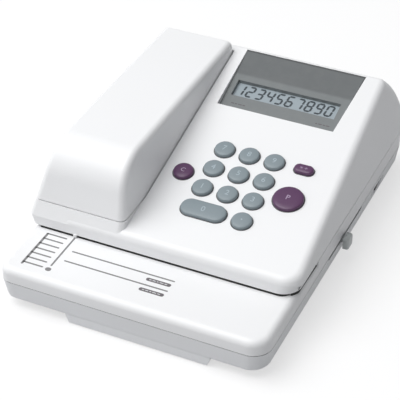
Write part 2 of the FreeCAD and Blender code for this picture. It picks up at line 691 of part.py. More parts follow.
# ---------------------------------------------------------------- keys
def key_table():
    """Name, x, s, width and depth of each key."""
    keys = []
    for row in range(3):
        for column in range(3):
            keys.append(("key_%d" % (3 * row + column + 1), KEY_FIRST_X + column * KEY_PITCH_X,
                         KEY_FIRST_S + (row + 1) * KEY_PITCH_S, KEY_D, KEY_D))
    last_x = KEY_FIRST_X + 2 * KEY_PITCH_X
    far_x = last_x + KEY_D / 2 + PRINT_KEY_GAP + PRINT_KEY_D / 2
    keys.append(("key_0", KEY_FIRST_X + KEY_PITCH_X / 2, KEY_FIRST_S, KEY_PITCH_X + KEY_D, KEY_D))
    keys.append(("key_decimal", last_x, KEY_FIRST_S, KEY_D, KEY_D))
    keys.append(("key_clear", KEY_FIRST_X - KEY_PITCH_X, KEY_FIRST_S + 1.5 * KEY_PITCH_S, KEY_D, KEY_D))
    keys.append(("key_print", far_x, KEY_FIRST_S + 1.5 * KEY_PITCH_S, PRINT_KEY_D, PRINT_KEY_D))
    keys.append(("key_symbol", far_x, KEY_FIRST_S + 3 * KEY_PITCH_S) + SYMBOL_KEY)
    return keys


def keypad_area(margin):
    """Rectangle on the panel round all keys: x0, x1, s0, s1."""
    keys = key_table()
    return (min(k[1] - k[3] / 2 for k in keys) - margin, max(k[1] + k[3] / 2 for k in keys) + margin,
            min(k[2] - k[4] / 2 for k in keys) - margin, max(k[2] + k[4] / 2 for k in keys) + margin)


def key(width, depth):
    under = -WALL - AIR
    cap = pill(width, depth, under, KEY_PROUD)
    cap = cap.makeFillet(KEY_ROUND, edges_where(cap, lambda e, c, b: b.ZMin > KEY_PROUD - 0.01))
    flange = pill(width + 2 * KEY_FLANGE, depth + 2 * KEY_FLANGE, under - FLANGE_THICK, under)
    return fuse([cap, flange])


def pad_posts():
    """Centres on the panel of the posts that carry the keypad board."""
    x0, x1, s0, s1 = keypad_area(PAD_MARGIN - BOSS_R)
    return [(x, s) for x in (x0, x1) for s in (s0, s1)]


def flat_slab(z0, z1, margin=PAD_MARGIN):
    x0, x1, s0, s1 = keypad_area(margin)
    return box(x0, x1, s0, s1, z0, z1)


def keypad_membrane():
    sheet = flat_slab(-PAD_DEPTH - PAD_THICK, -PAD_DEPTH)
    for x, s in pad_posts():
        sheet = sheet.cut(rod_z(x, s, -OVERLAP, OVERLAP, PAD_POST_R + AIR))
    return on_panel(sheet)


def keypad_board():
    top = -PAD_DEPTH - PAD_THICK
    board = flat_slab(top - BOARD_THICK, top)
    for x, s in pad_posts():
        board = board.cut(rod_z(x, s, -OVERLAP, OVERLAP, SCREW_R + AIR))
    x0, x1, s0, s1 = keypad_area(PAD_MARGIN)
    under = top - BOARD_THICK
    wide, long, high = PAD_CHIP
    chips = [box(x0 + x, x0 + x + wide, s0 + s, s0 + s + long, under - high, under) for x, s in PAD_CHIPS]
    wide, long, high = PAD_PLUG
    rear = s1 - PAD_PLUG_IN
    plug = box(-wide / 2, wide / 2, rear - long, rear, under - high, under)
    return on_panel(fuse([board, plug] + chips))


# ---------------------------------------------------------------- display
def window_level(s):
    """Level of the window plate's surface at s, from the panel's surface."""
    return -WINDOW_DEPTH + (s - WINDOW_S[0]) * (WINDOW_DEPTH - WINDOW_FLUSH) / WINDOW_LENGTH


def window_plan(grow, z0, z1):
    """Upright block with the window's outline, its sides moved out by grow."""
    (a0, a1), (b0, b1) = WINDOW_FRONT_X, WINDOW_REAR_X
    s0, s1 = WINDOW_S[0] - grow, WINDOW_S[1] + grow
    plan = [(a0 - grow, s0), (a1 + grow, s0), (b1 + grow, s1), (b0 - grow, s1)]
    return plan_prism(plan, z0, z1)


def window_hole():
    return on_panel(window_plan(0.0, -REACH, REACH))


def window_rim():
    """Wall round the window's recess, below the panel."""
    return on_panel(window_plan(WINDOW_RIM, -WINDOW_DEPTH - BEZEL_THICK, -WALL / 2))


def bezel_slab(x0, x1, s0, s1, above, below):
    """Slab that follows the window plate's tilt, from s0 to s1."""
    z0, z1 = window_level(s0), window_level(s1)
    profile = [(s0, z0 + above), (s1, z1 + above), (s1, z1 - below), (s0, z0 - below)]
    return side_prism(profile, x0, x1)


def display_bezel():
    """Window plate with a well down to the display."""
    plate = bezel_slab(-REACH, REACH, 0, REACH, 0.0, BEZEL_THICK)
    plate = plate.common(window_plan(-WINDOW_FIT, -REACH, REACH))
    well = lcd_slab(WINDOW_RIM, WINDOW_RIM, -BEZEL_THICK / 4, LCD_WELL)
    hole = lcd_slab(0, 0, WINDOW_DEPTH, 2 * LCD_WELL)
    return on_panel(fuse([plate, well]).cut(hole))


def lcd_slab(beside, beyond, above, below):
    """Slab over the display's opening and past its sides and ends."""
    return bezel_slab(LCD_X[0] - beside, LCD_X[1] + beside, LCD_S[0] - beyond, LCD_S[1] + beyond,
                      above, below)


def lcd_panel():
    return on_panel(lcd_slab(LCD_MARGIN, LCD_MARGIN, -LCD_WELL, LCD_BACK))


def lcd_holder():
    """Circuit board behind the display glass, with a lip round it."""
    beside, beyond = HOLDER_MARGIN
    board = lcd_slab(beside, beyond, -LCD_BACK, LCD_BACK + BOARD_THICK)
    lip = lcd_slab(beside, beyond, -LCD_WELL - PRESS, LCD_BACK)
    room = lcd_slab(LCD_MARGIN + PRESS, LCD_MARGIN + PRESS, 0.0, LCD_BACK)
    return on_panel(fuse([board, lip.cut(room)]))


# ---------------------------------------------------------------- upper housing
def housing_posts():
    """Centres of the four screw posts between the base and the upper housing."""
    left, right = POST_IN - BASE_LEFT, BASE_RIGHT - POST_IN
    return [(x, y) for x in (left, right) for y in (THROAT_DEPTH + POST_BEHIND, REAR_Y - POST_BEFORE)]


def beside(edge, side):
    """Least and greatest x of what reaches from edge out through one side."""
    return sorted((edge, side * REACH))


def housing_inside():
    """What is joined to the inside of the upper housing's shell."""
    parts = []
    for x, y in housing_posts():
        high = min(panel_z(y) - LAP, POST_TOP)
        reach = beside(x, LEFT if x < 0 else RIGHT)
        parts.append(rod_z(x, y, SEAM_Z + SEAM + AIR, high, BOSS_R))
        parts.append(box(*reach, y - RIB / 2, y + RIB / 2, HOUSING_Z + LAP, high))
    for side in (LEFT, RIGHT):
        reach = beside(side * (GUIDE_SIDE[side] - STAND_IN), side)
        for y in (FRONT_Y + STAND_Y, THROAT_DEPTH - STAND_Y):
            high = COVER_LOW - 8 if side == LEFT else panel_z(y) - LAP
            parts.append(box(*reach, y - STAND / 2, y + STAND / 2, GUIDE_TOP, high))
    for x, s in pad_posts():
        parts.append(on_panel(rod_z(x, s, -PAD_DEPTH - PAD_THICK, -WALL / 2, PAD_POST_R)))
    return parts


def rear_rounded(block, inset, floor):
    """Block cut to the curved rear, with its rear corners and the panel's rear edge rounded."""
    block = block.common(rear_prism(inset))
    choices = []
    for number, edge in enumerate(block.Edges, 1):
        centre, bounds = edge.CenterOfMass, edge.BoundBox
        if bounds.ZMax < floor + 0.1 or not all(on_rear(p, inset) for p in edge.discretize(5)):
            continue
        if abs(centre.x) > BASE_RIGHT * 0.8:
            choices.append((number, REAR_CORNER - inset, REAR_CORNER - inset))
        elif centre.z > REAR_CURVE_Z + 1 and bounds.XLength > WALL + 1 and bounds.ZLength < 1:
            radius = max(CREST_EDGE - inset, INNER_ROUND)
            choices.append((number, radius, radius))
    return rounded(block, choices)


def housing_block(inset, floor):
    """Whole block of the upper housing, or of the space inside its walls."""
    right = rear_rounded(panel_block(inset, floor), inset, floor)
    left = rear_rounded(cover_bed(inset, floor), inset, floor)
    return tucked(right.fuse(left), inset)


def side_groove():
    """Shallow groove along the right side, below the waist."""
    (y0, z0), (y1, z1) = GROOVE
    half = GROOVE_WIDE / 2
    profile = [(y0, z0 - half), (y1, z1 - half), (y1, z1 + half), (y0, z0 + half)]
    waist = BASE_RIGHT + WAIST_OUT - GROOVE_DEEP
    section = [(waist - WAIST_OUT, HOUSING_Z), (REACH, HOUSING_Z), (REACH, WAIST_Z), (waist, WAIST_Z)]
    return side_prism(profile, 0, REACH).common(front_prism(section, 0, REACH))


def housing_holes():
    """Holes in the upper housing for the keys and for the screws from below."""
    holes = [on_panel(pill(width + 2 * AIR, depth + 2 * AIR, -OVERLAP, OVERLAP), x, s)
             for name, x, s, width, depth in key_table()]
    holes += [rod_z(x, y, 0, HOUSING_Z + 8, SCREW_R - SCREW_BITE) for x, y in housing_posts()]
    holes += [on_panel(rod_z(x, s, -OVERLAP, -WALL - 0.6, SCREW_R - 0.5)) for x, s in pad_posts()]
    return holes


def upper_housing():
    outer = housing_block(0.0, HOUSING_Z)
    shell = outer.cut(housing_block(WALL, HOUSING_Z - LAP))
    room = box(-REACH, REACH, -OVERLAP, REACH, 0, HOUSING_Z).fuse(outer)
    inside = [part.common(room) for part in housing_inside() + [window_rim()]]
    shell = joined(shell, inside).cut(cover_room())
    ears = [ear.common(outer.fuse(cover_room())) for ear in hinge_ears()]
    shell = joined(shell, ears).cut(window_hole())
    for hole in housing_holes():
        shell = shell.cut(hole)
    return solid(shell.cut(side_groove()))


# ---------------------------------------------------------------- base
def feet_centres():
    x0, x1 = FOOT_INSET - BASE_LEFT, BASE_RIGHT - FOOT_INSET
    return [(x, y) for x in (x0, x1) for y in (FOOT_FROM_END, BASE_DEPTH - FOOT_FROM_END)]


def board_posts():
    return [(x, y) for x in (BOARD_X[0] + 5, BOARD_X[1] - 5) for y in (BOARD_Y[0] + 5, BOARD_Y[1] - 5)]


def front_posts():
    """Centres of the screw posts that hold the front of the paper table."""
    return [(x, FRONT_POST_Y) for x in (FRONT_POST_IN - BASE_LEFT, BASE_RIGHT - FRONT_POST_IN)]


def battery_box():
    """Walls, ceiling and plinth of the battery compartment."""
    x0, x1 = BOX_X[0] - BOX_WALL, BOX_X[1] + BOX_WALL
    y0, y1 = BOX_Y[0] - BOX_WALL, BOX_Y[1] + BOX_WALL
    block = box(x0, x1, y0, y1, FLOOR_TOP - LAP, TABLE_Z - TABLE_PLATE - PUSH)
    slant = PLINTH_SLANT / 2
    top = FLOOR_TOP - LAP
    outline = [(x0 - slant, top), (x1 + slant, top), (x1 + slant, BASE_FLOOR), (x1 - slant / 2, PLINTH_Z),
               (x0 + slant / 2, PLINTH_Z), (x0 - slant, BASE_FLOOR)]
    return block.fuse(front_prism(outline, y0, y1))


def battery_room():
    """Space inside the battery compartment, with the door's lips left standing."""
    x0, x1, y0, y1 = BOX_X[0], BOX_X[1], BOX_Y[0], BOX_Y[1]
    room = box(x0, x1, y0, y1, DOOR_Z[0] - AIR, cell_z() + CELL_R + AIR)
    mouth = box(x0 + DOOR_LIP, x1 - DOOR_LIP, y0, y1, -1, DOOR_Z[0])
    way_out = box(x0, x1, y1 - 1, y1 + 4, -1, DOOR_Z[1] + AIR)
    return [room, mouth, way_out]


def cell_z():
    return DOOR_Z[1] + AIR + CELL_R


def switch_hole():
    """Sunk window in the right wall, and the way through it for the switch."""
    y0, y1 = SWITCH_Y
    z0, z1 = SWITCH_Z
    window = box(BASE_RIGHT - SWITCH_SINK, REACH, y0, y1, z0, z1)
    way = box(BASE_RIGHT - 10, REACH, y0 + 2, y1 - 2, z0 + SWITCH_RIM, z1 - SWITCH_RIM)
    return window.fuse(way)


def base_holes():
    """Everything that is cut out of the base."""
    holes = [rod_z(x, y, -LAP, BASE_FLOOR + FOOT_SEAT, FOOT_R + PRESS) for x, y in feet_centres()]
    for x, y in housing_posts() + front_posts():
        holes.append(rod_z(x, y, -LAP, TABLE_Z, SCREW_R + SCREW_FREE))
        holes.append(rod_z(x, y, -LAP, FLOOR_TOP + HEAD_DEPTH, HEAD_R + AIR))
    holes += [rod_z(x, y, FLOOR_TOP, TABLE_Z, SCREW_R - SCREW_BITE) for x, y in board_posts()]
    holes.append(box(LEVER_ARM[1] + 2, REACH, *LEVER_SLOT, LEVER_Z[0] - LEVER_AIR, REACH))
    holes.append(switch_hole())
    holes.append(rod_y(JACK_X, BASE_DEPTH - 10, BASE_DEPTH + 10, JACK_Z, BOSS_R + PUSH))
    return holes


def base_housing():
    rim = WALL / 2
    shell = base_block(0.0, SEAM_Z).fuse(base_block(rim, SEAM_Z + SEAM))
    shell = shell.cut(base_block(WALL, SEAM_Z + 5))
    parts = [shell, battery_box()]
    parts += [rod_z(x, y, FLOOR_TOP - LAP, SEAM_Z + SEAM, BOSS_R) for x, y in housing_posts() + front_posts()]
    parts += [rod_z(x, y, FLOOR_TOP - LAP, BOARD_Z, BOSS_R) for x, y in board_posts()]
    base = fuse(parts)
    for tool in battery_room():
        base = base.cut(tool)
    for hole in base_holes():
        base = base.cut(hole)
    return base


# ---------------------------------------------------------------- paper table
def roller_window(x, y0, y1, half):
    return box(x - half, x + half, y0, y1, 0, TABLE_Z + 10)


def finger_slots(z0, z1):
    beside, along = FINGER_AIR
    y0, y1 = STOP_Y - STOP_BACK - along, STOP_Y + FINGER[1] + STOP_ON + along
    half = FINGER[0] / 2 + beside
    return [box(x - half, x + half, y0, y1, z0, z1) for x in STOP_X]


def paper_table():
    rim = WALL / 2
    low = SEAM_Z + SEAM
    front = rounded_plan(0.0, low, TABLE_Z)
    front = front.makeFillet(TABLE_EDGE, edges_where(front, lambda e, c, b: b.ZMin > TABLE_Z - 0.01))
    band_top = HOUSING_Z - SEAM
    lip = rounded_plan(rim, low, HOUSING_Z).common(box(-REACH, REACH, 0, REAR_Y - rim, 0, 100))
    rear = rounded_plan(0.0, low, band_top).fuse(lip)
    rear = rear.common(box(-REACH, REACH, THROAT_DEPTH, BASE_DEPTH + 10, 0, 100))
    table = fuse([front, rear])
    gap = BOX_WALL + PRESS
    table = table.cut(box(BOX_X[0] - gap, BOX_X[1] + gap, BOX_Y[0] - gap, BOX_Y[1] + gap, 0,
                          TABLE_Z - TABLE_PLATE))
    hollow = rounded_plan(WALL, 0, TABLE_Z - TABLE_PLATE)
    open_rear = rounded_plan(WALL, 0, 100).common(
        box(-REACH, REACH, THROAT_DEPTH + WALL, REAR_Y - WALL, 0, 100))
    below_ledge = rounded_plan(WALL, 0, band_top - WALL).common(
        box(-REACH, REACH, THROAT_DEPTH + WALL, BASE_DEPTH, 0, 100))
    table = table.cut(hollow).cut(open_rear).cut(below_ledge)
    posts = [rod_z(x, y, SEAM_Z + SEAM, TABLE_Z - LAP, BOSS_R) for x, y in front_posts()]
    table = fuse([table] + posts)
    for x, y in front_posts():
        table = table.cut(rod_z(x, y, 0, TABLE_Z - TABLE_PLATE, SCREW_R - SCREW_BITE))
    for tool in finger_slots(STOP_Z[0], REACH):
        table = table.cut(tool)
    table = table.cut(roller_window(PRINT_X, PRINT_Y[0] - ROLLER_AIR, PRINT_Y[1] + ROLLER_AIR, WINDOW_HALF))
    table = table.cut(roller_window(feed_x(), PRINT_Y[0] - FEED_WIDER - ROLLER_AIR, PRINT_Y[1] + ROLLER_AIR,
                                    WINDOW_HALF))
    return solid(table.cut(box(LEVER_ARM[0] - LAP, REACH, *LEVER_SLOT, 0, LEVER_Z[1] + 2 * LEVER_AIR)))


def paper_guide():
    """Plate above the paper slot, with windows for the type wheel and the pinch roller."""
    plate = box(-GUIDE_SIDE[LEFT], GUIDE_SIDE[RIGHT], FRONT_Y + WALL + 2 * AIR, THROAT_DEPTH - LAP,
                HOUSING_Z, GUIDE_TOP)
    fronts = edges_where(plate, lambda e, c, b: b.ZLength > 1 and c.y < FRONT_Y + 10)
    plate = plate.makeFillet(CORNER_RIGHT, fronts)
    for tool in finger_slots(0, REACH):
        plate = plate.cut(tool)
    y0, y1 = PRINT_Y[0] - 1, PRINT_Y[1] + 1
    plate = plate.cut(roller_window(PRINT_X, y0, y1, TYPE_WINDOW))
    return plate.cut(roller_window(feed_x(), y0, y1, PINCH_WINDOW))


# ---------------------------------------------------------------- paper stop
def paper_stop():
    x0, x1 = STOP_X[0] - FINGER[0] / 2, LEVER_ARM[1]
    bar = box(x0, x1, STOP_Y + 1, STOP_Y + STOP_BAR, *STOP_Z)
    fingers = [box(x - FINGER[0] / 2, x + FINGER[0] / 2, STOP_Y, STOP_Y + FINGER[1], STOP_Z[0],
                   HOUSING_Z - AIR) for x in STOP_X]
    return fuse([bar] + fingers)


def stop_lever():
    x0, x1 = LEVER_ARM
    arm = box(x0, x1, STOP_Y + 1, LEVER_Y + LEVER_STEM / 2, *LEVER_Z)
    hook = box(x0, x1, STOP_Y + 1, STOP_Y + STOP_BAR, LEVER_Z[0], STOP_Z[0])
    knob_x = BASE_RIGHT + KNOB_GAP
    stem = box(x0, knob_x + LAP, LEVER_Y - LEVER_STEM / 2, LEVER_Y + LEVER_STEM / 2, *LEVER_Z)
    width, depth, height = KNOB
    knob = box(knob_x, knob_x + width, LEVER_Y - depth / 2, LEVER_Y + depth / 2, KNOB_Z, KNOB_Z + height)
    outer = edges_where(knob, lambda e, c, b: b.XLength > 1 or c.x > knob_x + width - 0.01)
    knob = knob.makeFillet(KNOB_EDGE, outer)
    return fuse([arm, hook, stem, knob])


# ---------------------------------------------------------------- gears
def involute(base_r, radius):
    """Polar angle, from the involute's start, of its point at radius."""
    roll = math.sqrt(max(0.0, (radius / base_r) ** 2 - 1))
    return roll - math.atan(roll)


def gear(teeth, x, z, y0, y1, phase, bore=0.0):
    """Spur gear about an axis along Y. A tooth points in the direction of phase, in degrees."""
    pitch_r = GEAR_MODULE * teeth / 2
    base_r = pitch_r * math.cos(math.radians(PRESSURE_ANGLE))
    tip_r, root_r = pitch_r + TOOTH_OUT * GEAR_MODULE, pitch_r - TOOTH_IN * GEAR_MODULE
    half = math.pi / (2 * teeth) - BACKLASH / (4 * pitch_r) + involute(base_r, pitch_r)
    foot_r = max(base_r, root_r)
    middle_r = (foot_r + tip_r) / 2

    def at(radius, angle):
        return radius * math.cos(angle), radius * math.sin(angle)

    points = []
    for number in range(teeth):
        mid = math.radians(phase) + 2 * math.pi * number / teeth
        foot, side, tip = (half - involute(base_r, r) for r in (foot_r, middle_r, tip_r))
        gap = mid + math.pi / teeth
        next_foot = mid + 2 * math.pi / teeth - foot
        if not points:
            points.append(at(foot_r, mid - foot))
        points.append(("arc", at(middle_r, mid - side), at(tip_r, mid - tip)))
        points.append(("arc", at(tip_r, mid), at(tip_r, mid + tip)))
        points.append(("arc", at(middle_r, mid + side), at(foot_r, mid + foot)))
        if foot_r > root_r:
            points.append(at(root_r, mid + foot))
            points.append(("arc", at(root_r, gap), at(root_r, next_foot)))
            points.append(at(foot_r, next_foot))
        else:
            points.append(("arc", at(root_r, gap), at(root_r, next_foot)))
    blank = front_prism(points, y0, y1)
    blank.translate(Vector(x, 0, z))
    return blank.cut(rod_y(x, y0 - 1, y1 + 1, z, bore)) if bore else blank


def meshed(teeth, phase, angle, mate_teeth):
    """Phase of a gear that lies in the direction of angle from a gear with this phase."""
    past = ((angle - phase) * teeth / 360.0) % 1.0
    return angle + 180.0 + (past + 0.5) * 360.0 / mate_teeth


def direction(from_x, from_z, to_x, to_z):
    return math.degrees(math.atan2(to_z - from_z, to_x - from_x))


def gear_distance(a, b):
    return GEAR_MODULE * (a + b) / 2


def feed_x():
    """The feed shaft lies where its gear meets the print gear."""
    drop = PRINT_Z - ROLLER_Z
    return PRINT_X + math.sqrt(gear_distance(PRINT_TEETH, FEED_TEETH) ** 2 - drop ** 2)


def reduction_axis():
    reach = gear_distance(PRINT_TEETH, SMALL_TEETH)
    angle = math.radians(SMALL_GEAR_ANGLE)
    return PRINT_X + reach * math.cos(angle), PRINT_Z + reach * math.sin(angle)


def motor_axis():
    x, z = reduction_axis()
    reach = gear_distance(LARGE_TEETH, PINION_TEETH)
    angle = math.radians(PINION_ANGLE)
    return x + reach * math.cos(angle), z + reach * math.sin(angle)


# ---------------------------------------------------------------- print head
def print_shaft():
    return rod_y(PRINT_X, FRONT_PLATE_Y - 1, GEAR_A[1] + 1, PRINT_Z, PRINT_SHAFT_R)


def type_wheel():
    y0, y1 = PRINT_Y
    body = rod_y(PRINT_X, y0, y1, PRINT_Z, TYPE_BODY_R)
    blocks = []
    step = 360.0 / TYPE_POSITIONS
    count = TYPE_POSITIONS - TYPE_BLANKS
    for number in range(count):
        block = box(-TYPE_WIDE / 2, TYPE_WIDE / 2, y0 + 1, y1 - 1, TYPE_BODY_R - 2, TYPE_R + 1)
        block.rotate(Vector(0, 0, 0), Vector(0, 1, 0), (number - (count - 1) / 2) * step)
        block.translate(Vector(PRINT_X, 0, PRINT_Z))
        blocks.append(block)
    blocks = group(blocks).common(rod_y(PRINT_X, y0, y1, PRINT_Z, TYPE_R))
    wheel = fuse([body] + list(blocks.Solids))
    return wheel.cut(rod_y(PRINT_X, 0, REACH, PRINT_Z, PRINT_SHAFT_R + SEAT))


def print_gear():
    disc = gear(PRINT_TEETH, PRINT_X, PRINT_Z, *GEAR_A, 0.0, PRINT_SHAFT_R + SEAT)
    count, out, radius = GEAR_HOLES
    for number in range(count):
        angle = math.tau * number / count
        x, z = PRINT_X + out * math.cos(angle), PRINT_Z + out * math.sin(angle)
        disc = disc.cut(rod_y(x, 0, REACH, z, radius))
    return disc


def feed_gear():
    angle = direction(PRINT_X, PRINT_Z, feed_x(), ROLLER_Z)
    phase = meshed(PRINT_TEETH, 0.0, angle, FEED_TEETH)
    return gear(FEED_TEETH, feed_x(), ROLLER_Z, *GEAR_A, phase, FEED_SHAFT_R + SEAT)


def feed_shaft():
    return rod_y(feed_x(), CRADLE_Y[0] - 1, GEAR_A[1] + 1, ROLLER_Z, FEED_SHAFT_R)


def feed_roller():
    tyre = rod_y(feed_x(), PRINT_Y[0] - FEED_WIDER, PRINT_Y[1], ROLLER_Z, ROLLER_R)
    return tyre.cut(rod_y(feed_x(), 0, REACH, ROLLER_Z, FEED_SHAFT_R + SEAT))


def reduction_gear():
    """Small and large gear on one axle."""
    x, z = reduction_axis()
    small_phase = meshed(PRINT_TEETH, 0.0, SMALL_GEAR_ANGLE, SMALL_TEETH)
    axle = rod_y(x, MIDDLE_PLATE_Y, MOTOR_PLATE_Y + PLATE, z, AXLE_R)
    hub = rod_y(x, GEAR_A[1], GEAR_B[0], z, HUB_R)
    return fuse([gear(SMALL_TEETH, x, z, *GEAR_A, small_phase), hub,
                 gear(LARGE_TEETH, x, z, *GEAR_B, 0.0), axle])


def motor_pinion():
    x, z = motor_axis()
    phase = meshed(LARGE_TEETH, 0.0, PINION_ANGLE, PINION_TEETH)
    shaft = rod_y(x, GEAR_B[0] - 1, MOTOR_PLATE_Y + PLATE + 4, z, MOTOR_SHAFT_R)
    return fuse([gear(PINION_TEETH, x, z, *GEAR_B, phase), shaft])


def drive_motor():
    x, z = motor_axis()
    y0 = MOTOR_PLATE_Y + PLATE
    can = rod_y(x, y0, y0 + MOTOR_LENGTH, z, MOTOR_R)
    can = can.makeFillet(MOTOR_EDGE, edges_where(can, lambda e, c, b: b.YLength < 0.01 and c.y > y0 + 1))
    boss = rod_y(x, y0 - PLATE + MOTOR_BOSS_IN, y0, z, MOTOR_BOSS_R)
    tail = rod_y(x, y0 + MOTOR_LENGTH, y0 + MOTOR_LENGTH + MOTOR_TAIL[1], z, MOTOR_TAIL[0])
    return fuse([can, boss, tail]).cut(rod_y(x, y0 - 5, y0 + 6, z, MOTOR_SHAFT_R + RUN))


def roller_cradle():
    """Channel below the table that holds the platen roller and the feed shaft's front end."""
    x0, x1 = CRADLE_X
    y0, y1 = CRADLE_Y
    high = TABLE_Z - TABLE_PLATE - AIR
    channel = box(x0, x1, y0, y1, FLOOR_TOP, high)
    channel = channel.cut(box(x0 - 1, x1 + 1, y0 + PLATE, y1 - PLATE, FLOOR_TOP + 3, high + 1))
    channel = channel.cut(rod_y(PRINT_X, 0, REACH, ROLLER_Z, AXLE_R + RUN))
    return channel.cut(rod_y(feed_x(), 0, REACH, ROLLER_Z, FEED_SHAFT_R + RUN))


def platen_shaft():
    return rod_y(PRINT_X, CRADLE_Y[0], CRADLE_Y[1], ROLLER_Z, AXLE_R)


def platen_roller():
    tyre = rod_y(PRINT_X, *PRINT_Y, ROLLER_Z, ROLLER_R)
    return tyre.cut(rod_y(PRINT_X, 0, REACH, ROLLER_Z, AXLE_R + SEAT))


def rear_plate_outline():
    left, right = FRAME_IN - BASE_LEFT, COVER_RIGHT
    top = COVER_TOP - FRAME_BELOW
    low, high = FRAME_WAIST
    along, down = FRAME_SLANT
    return [(left, FLOOR_TOP), (right + 1, FLOOR_TOP), (right + 1, low), (right - 3, high), (right - 3, top),
            (left + along, top), (left, top - down)]


def frame_spacers():
    """Rods between the front and middle plates, and between the middle and motor plates.

    A positive distance counts from the left side of the base or up from the print shaft, a negative
    one from the right side of the cover or down from the cover's top; the second rear rod alone
    stands below the print shaft.
    """
    low_right = REAR_SPACERS[1]
    gaps = ((FRONT_SPACERS, FRONT_PLATE_Y + PLATE, MIDDLE_PLATE_Y),
            (REAR_SPACERS, MIDDLE_PLATE_Y + PLATE, MOTOR_PLATE_Y))
    rods = []
    for places, y0, y1 in gaps:
        for place in places:
            side, rise = place
            x = side + (COVER_RIGHT if side < 0 else -BASE_LEFT)
            z = rise + (PRINT_Z if rise > 0 or place == low_right else COVER_TOP)
            rods.append(rod_y(x, y0, y1, z, SPACER_R))
    return group(rods)


def front_plate():
    """Plate that stands on the paper guide, in front of the type wheel."""
    left, right = FRONT_PLATE_IN - BASE_LEFT, COVER_RIGHT
    along, down = FRONT_PLATE_SLANT
    top = FRONT_PLATE_TOP
    points = [(left, GUIDE_TOP), (right - 2, GUIDE_TOP), (right - 2, FRONT_PLATE_WAIST), (right - 4, top),
              (left + along, top), (left, top - down)]
    plate = front_prism(points, FRONT_PLATE_Y, FRONT_PLATE_Y + PLATE)
    plate = plate.cut(rod_y(PRINT_X, 0, REACH, PRINT_Z, BUSH_R))
    x, z = ink_axis()
    return plate.cut(rod_y(x, 0, REACH, z, THIN_SHAFT_R + RUN))


def middle_plate():
    plate = front_prism(rear_plate_outline(), MIDDLE_PLATE_Y, MIDDLE_PLATE_Y + PLATE)
    plate = plate.cut(rod_y(PRINT_X, 0, REACH, PRINT_Z, BUSH_R))
    plate = plate.cut(rod_y(feed_x(), 0, REACH, ROLLER_Z, BUSH_R))
    x, z = reduction_axis()
    return plate.cut(rod_y(x, 0, REACH, z, AXLE_R + RUN))


def motor_plate():
    plate = front_prism(rear_plate_outline(), MOTOR_PLATE_Y, MOTOR_PLATE_Y + PLATE)
    x, z = reduction_axis()
    plate = plate.cut(rod_y(x, 0, REACH, z, AXLE_R + RUN))
    x, z = motor_axis()
    return plate.cut(rod_y(x, 0, REACH, z, MOTOR_BOSS_R + PUSH))


def frame_plates():
    return group([front_plate(), middle_plate(), motor_plate()])


def bush(x, z, y, shaft_r):
    body = rod_y(x, y, y + PLATE, z, BUSH_R - SEAT)
    wide, thick = FLANGE
    flange = rod_y(x, y - thick, y, z, BUSH_R + wide)
    return body.fuse(flange).cut(rod_y(x, y - 5, y + 5, z, shaft_r + RUN))


def shaft_bushes():
    return group([bush(PRINT_X, PRINT_Z, FRONT_PLATE_Y, PRINT_SHAFT_R),
                  bush(PRINT_X, PRINT_Z, MIDDLE_PLATE_Y, PRINT_SHAFT_R),
                  bush(feed_x(), ROLLER_Z, MIDDLE_PLATE_Y, FEED_SHAFT_R)])


def ink_axis():
    """Axis (x, z) of the ink roller, beside the type wheel."""
    reach = TYPE_R + PAPER_GAP + INK_R
    angle = math.radians(INK_ANGLE)
    return PRINT_X + reach * math.cos(angle), PRINT_Z + reach * math.sin(angle)


def ink_roller():
    x, z = ink_axis()
    return rod_y(x, *PRINT_Y, z, INK_R).cut(rod_y(x, 0, REACH, z, THIN_SHAFT_R + SEAT))


def ink_shaft():
    x, z = ink_axis()
    return rod_y(x, FRONT_PLATE_Y, PRINT_Y[1] + 3, z, THIN_SHAFT_R)


def ink_holder():
    """Bracket on the front plate that carries the rear end of the ink roller's shaft."""
    x, z = ink_axis()
    y0, y1 = FRONT_PLATE_Y + PLATE, PRINT_Y[1] + 3
    top = z + INK_R + 1
    over = top + INK_ARM_THICK
    sides = (x - INK_ARM, x + INK_ARM)
    bridge = box(*sides, y0, y1, top, over)
    rear = box(*sides, y1 - INK_ARM_THICK, y1, z - 3, over)
    tab = box(*sides, y0, y0 + 1, z + 3, over)
    return fuse([bridge, rear, tab]).cut(rod_y(x, y1 - 3, y1 + 1, z, THIN_SHAFT_R + RUN))


def pinch_holder():
    """Fork that carries the pinch roller, with a stem that slides in the bracket."""
    x0, x1 = HOLDER_X
    y0, y1 = HOLDER_Y
    high = PINCH_Z + PINCH_R + FORK_RISE
    low = high - FORK_TOP
    top = box(x0, x1, y0, y1, low, high)
    arms = [box(x0, x1, y, y + PLATE, PINCH_Z - FORK_END, low + LAP) for y in (y0, y1 - PLATE)]
    stem = rod_z((x0 + x1) / 2, (y0 + y1) / 2, low + 2, BRACKET_Z + STEM_ABOVE, STEM_R)
    holder = fuse([top, stem] + arms)
    return holder.cut(rod_y(feed_x(), 0, REACH, PINCH_Z, THIN_SHAFT_R + RUN))


def pinch_roller():
    tyre = rod_y(feed_x(), HOLDER_Y[0] + PLATE + AIR, HOLDER_Y[1] - PLATE - AIR, PINCH_Z, PINCH_R)
    return tyre.cut(rod_y(feed_x(), 0, REACH, PINCH_Z, THIN_SHAFT_R + SEAT))


def pinch_shaft():
    return rod_y(feed_x(), *HOLDER_Y, PINCH_Z, THIN_SHAFT_R)


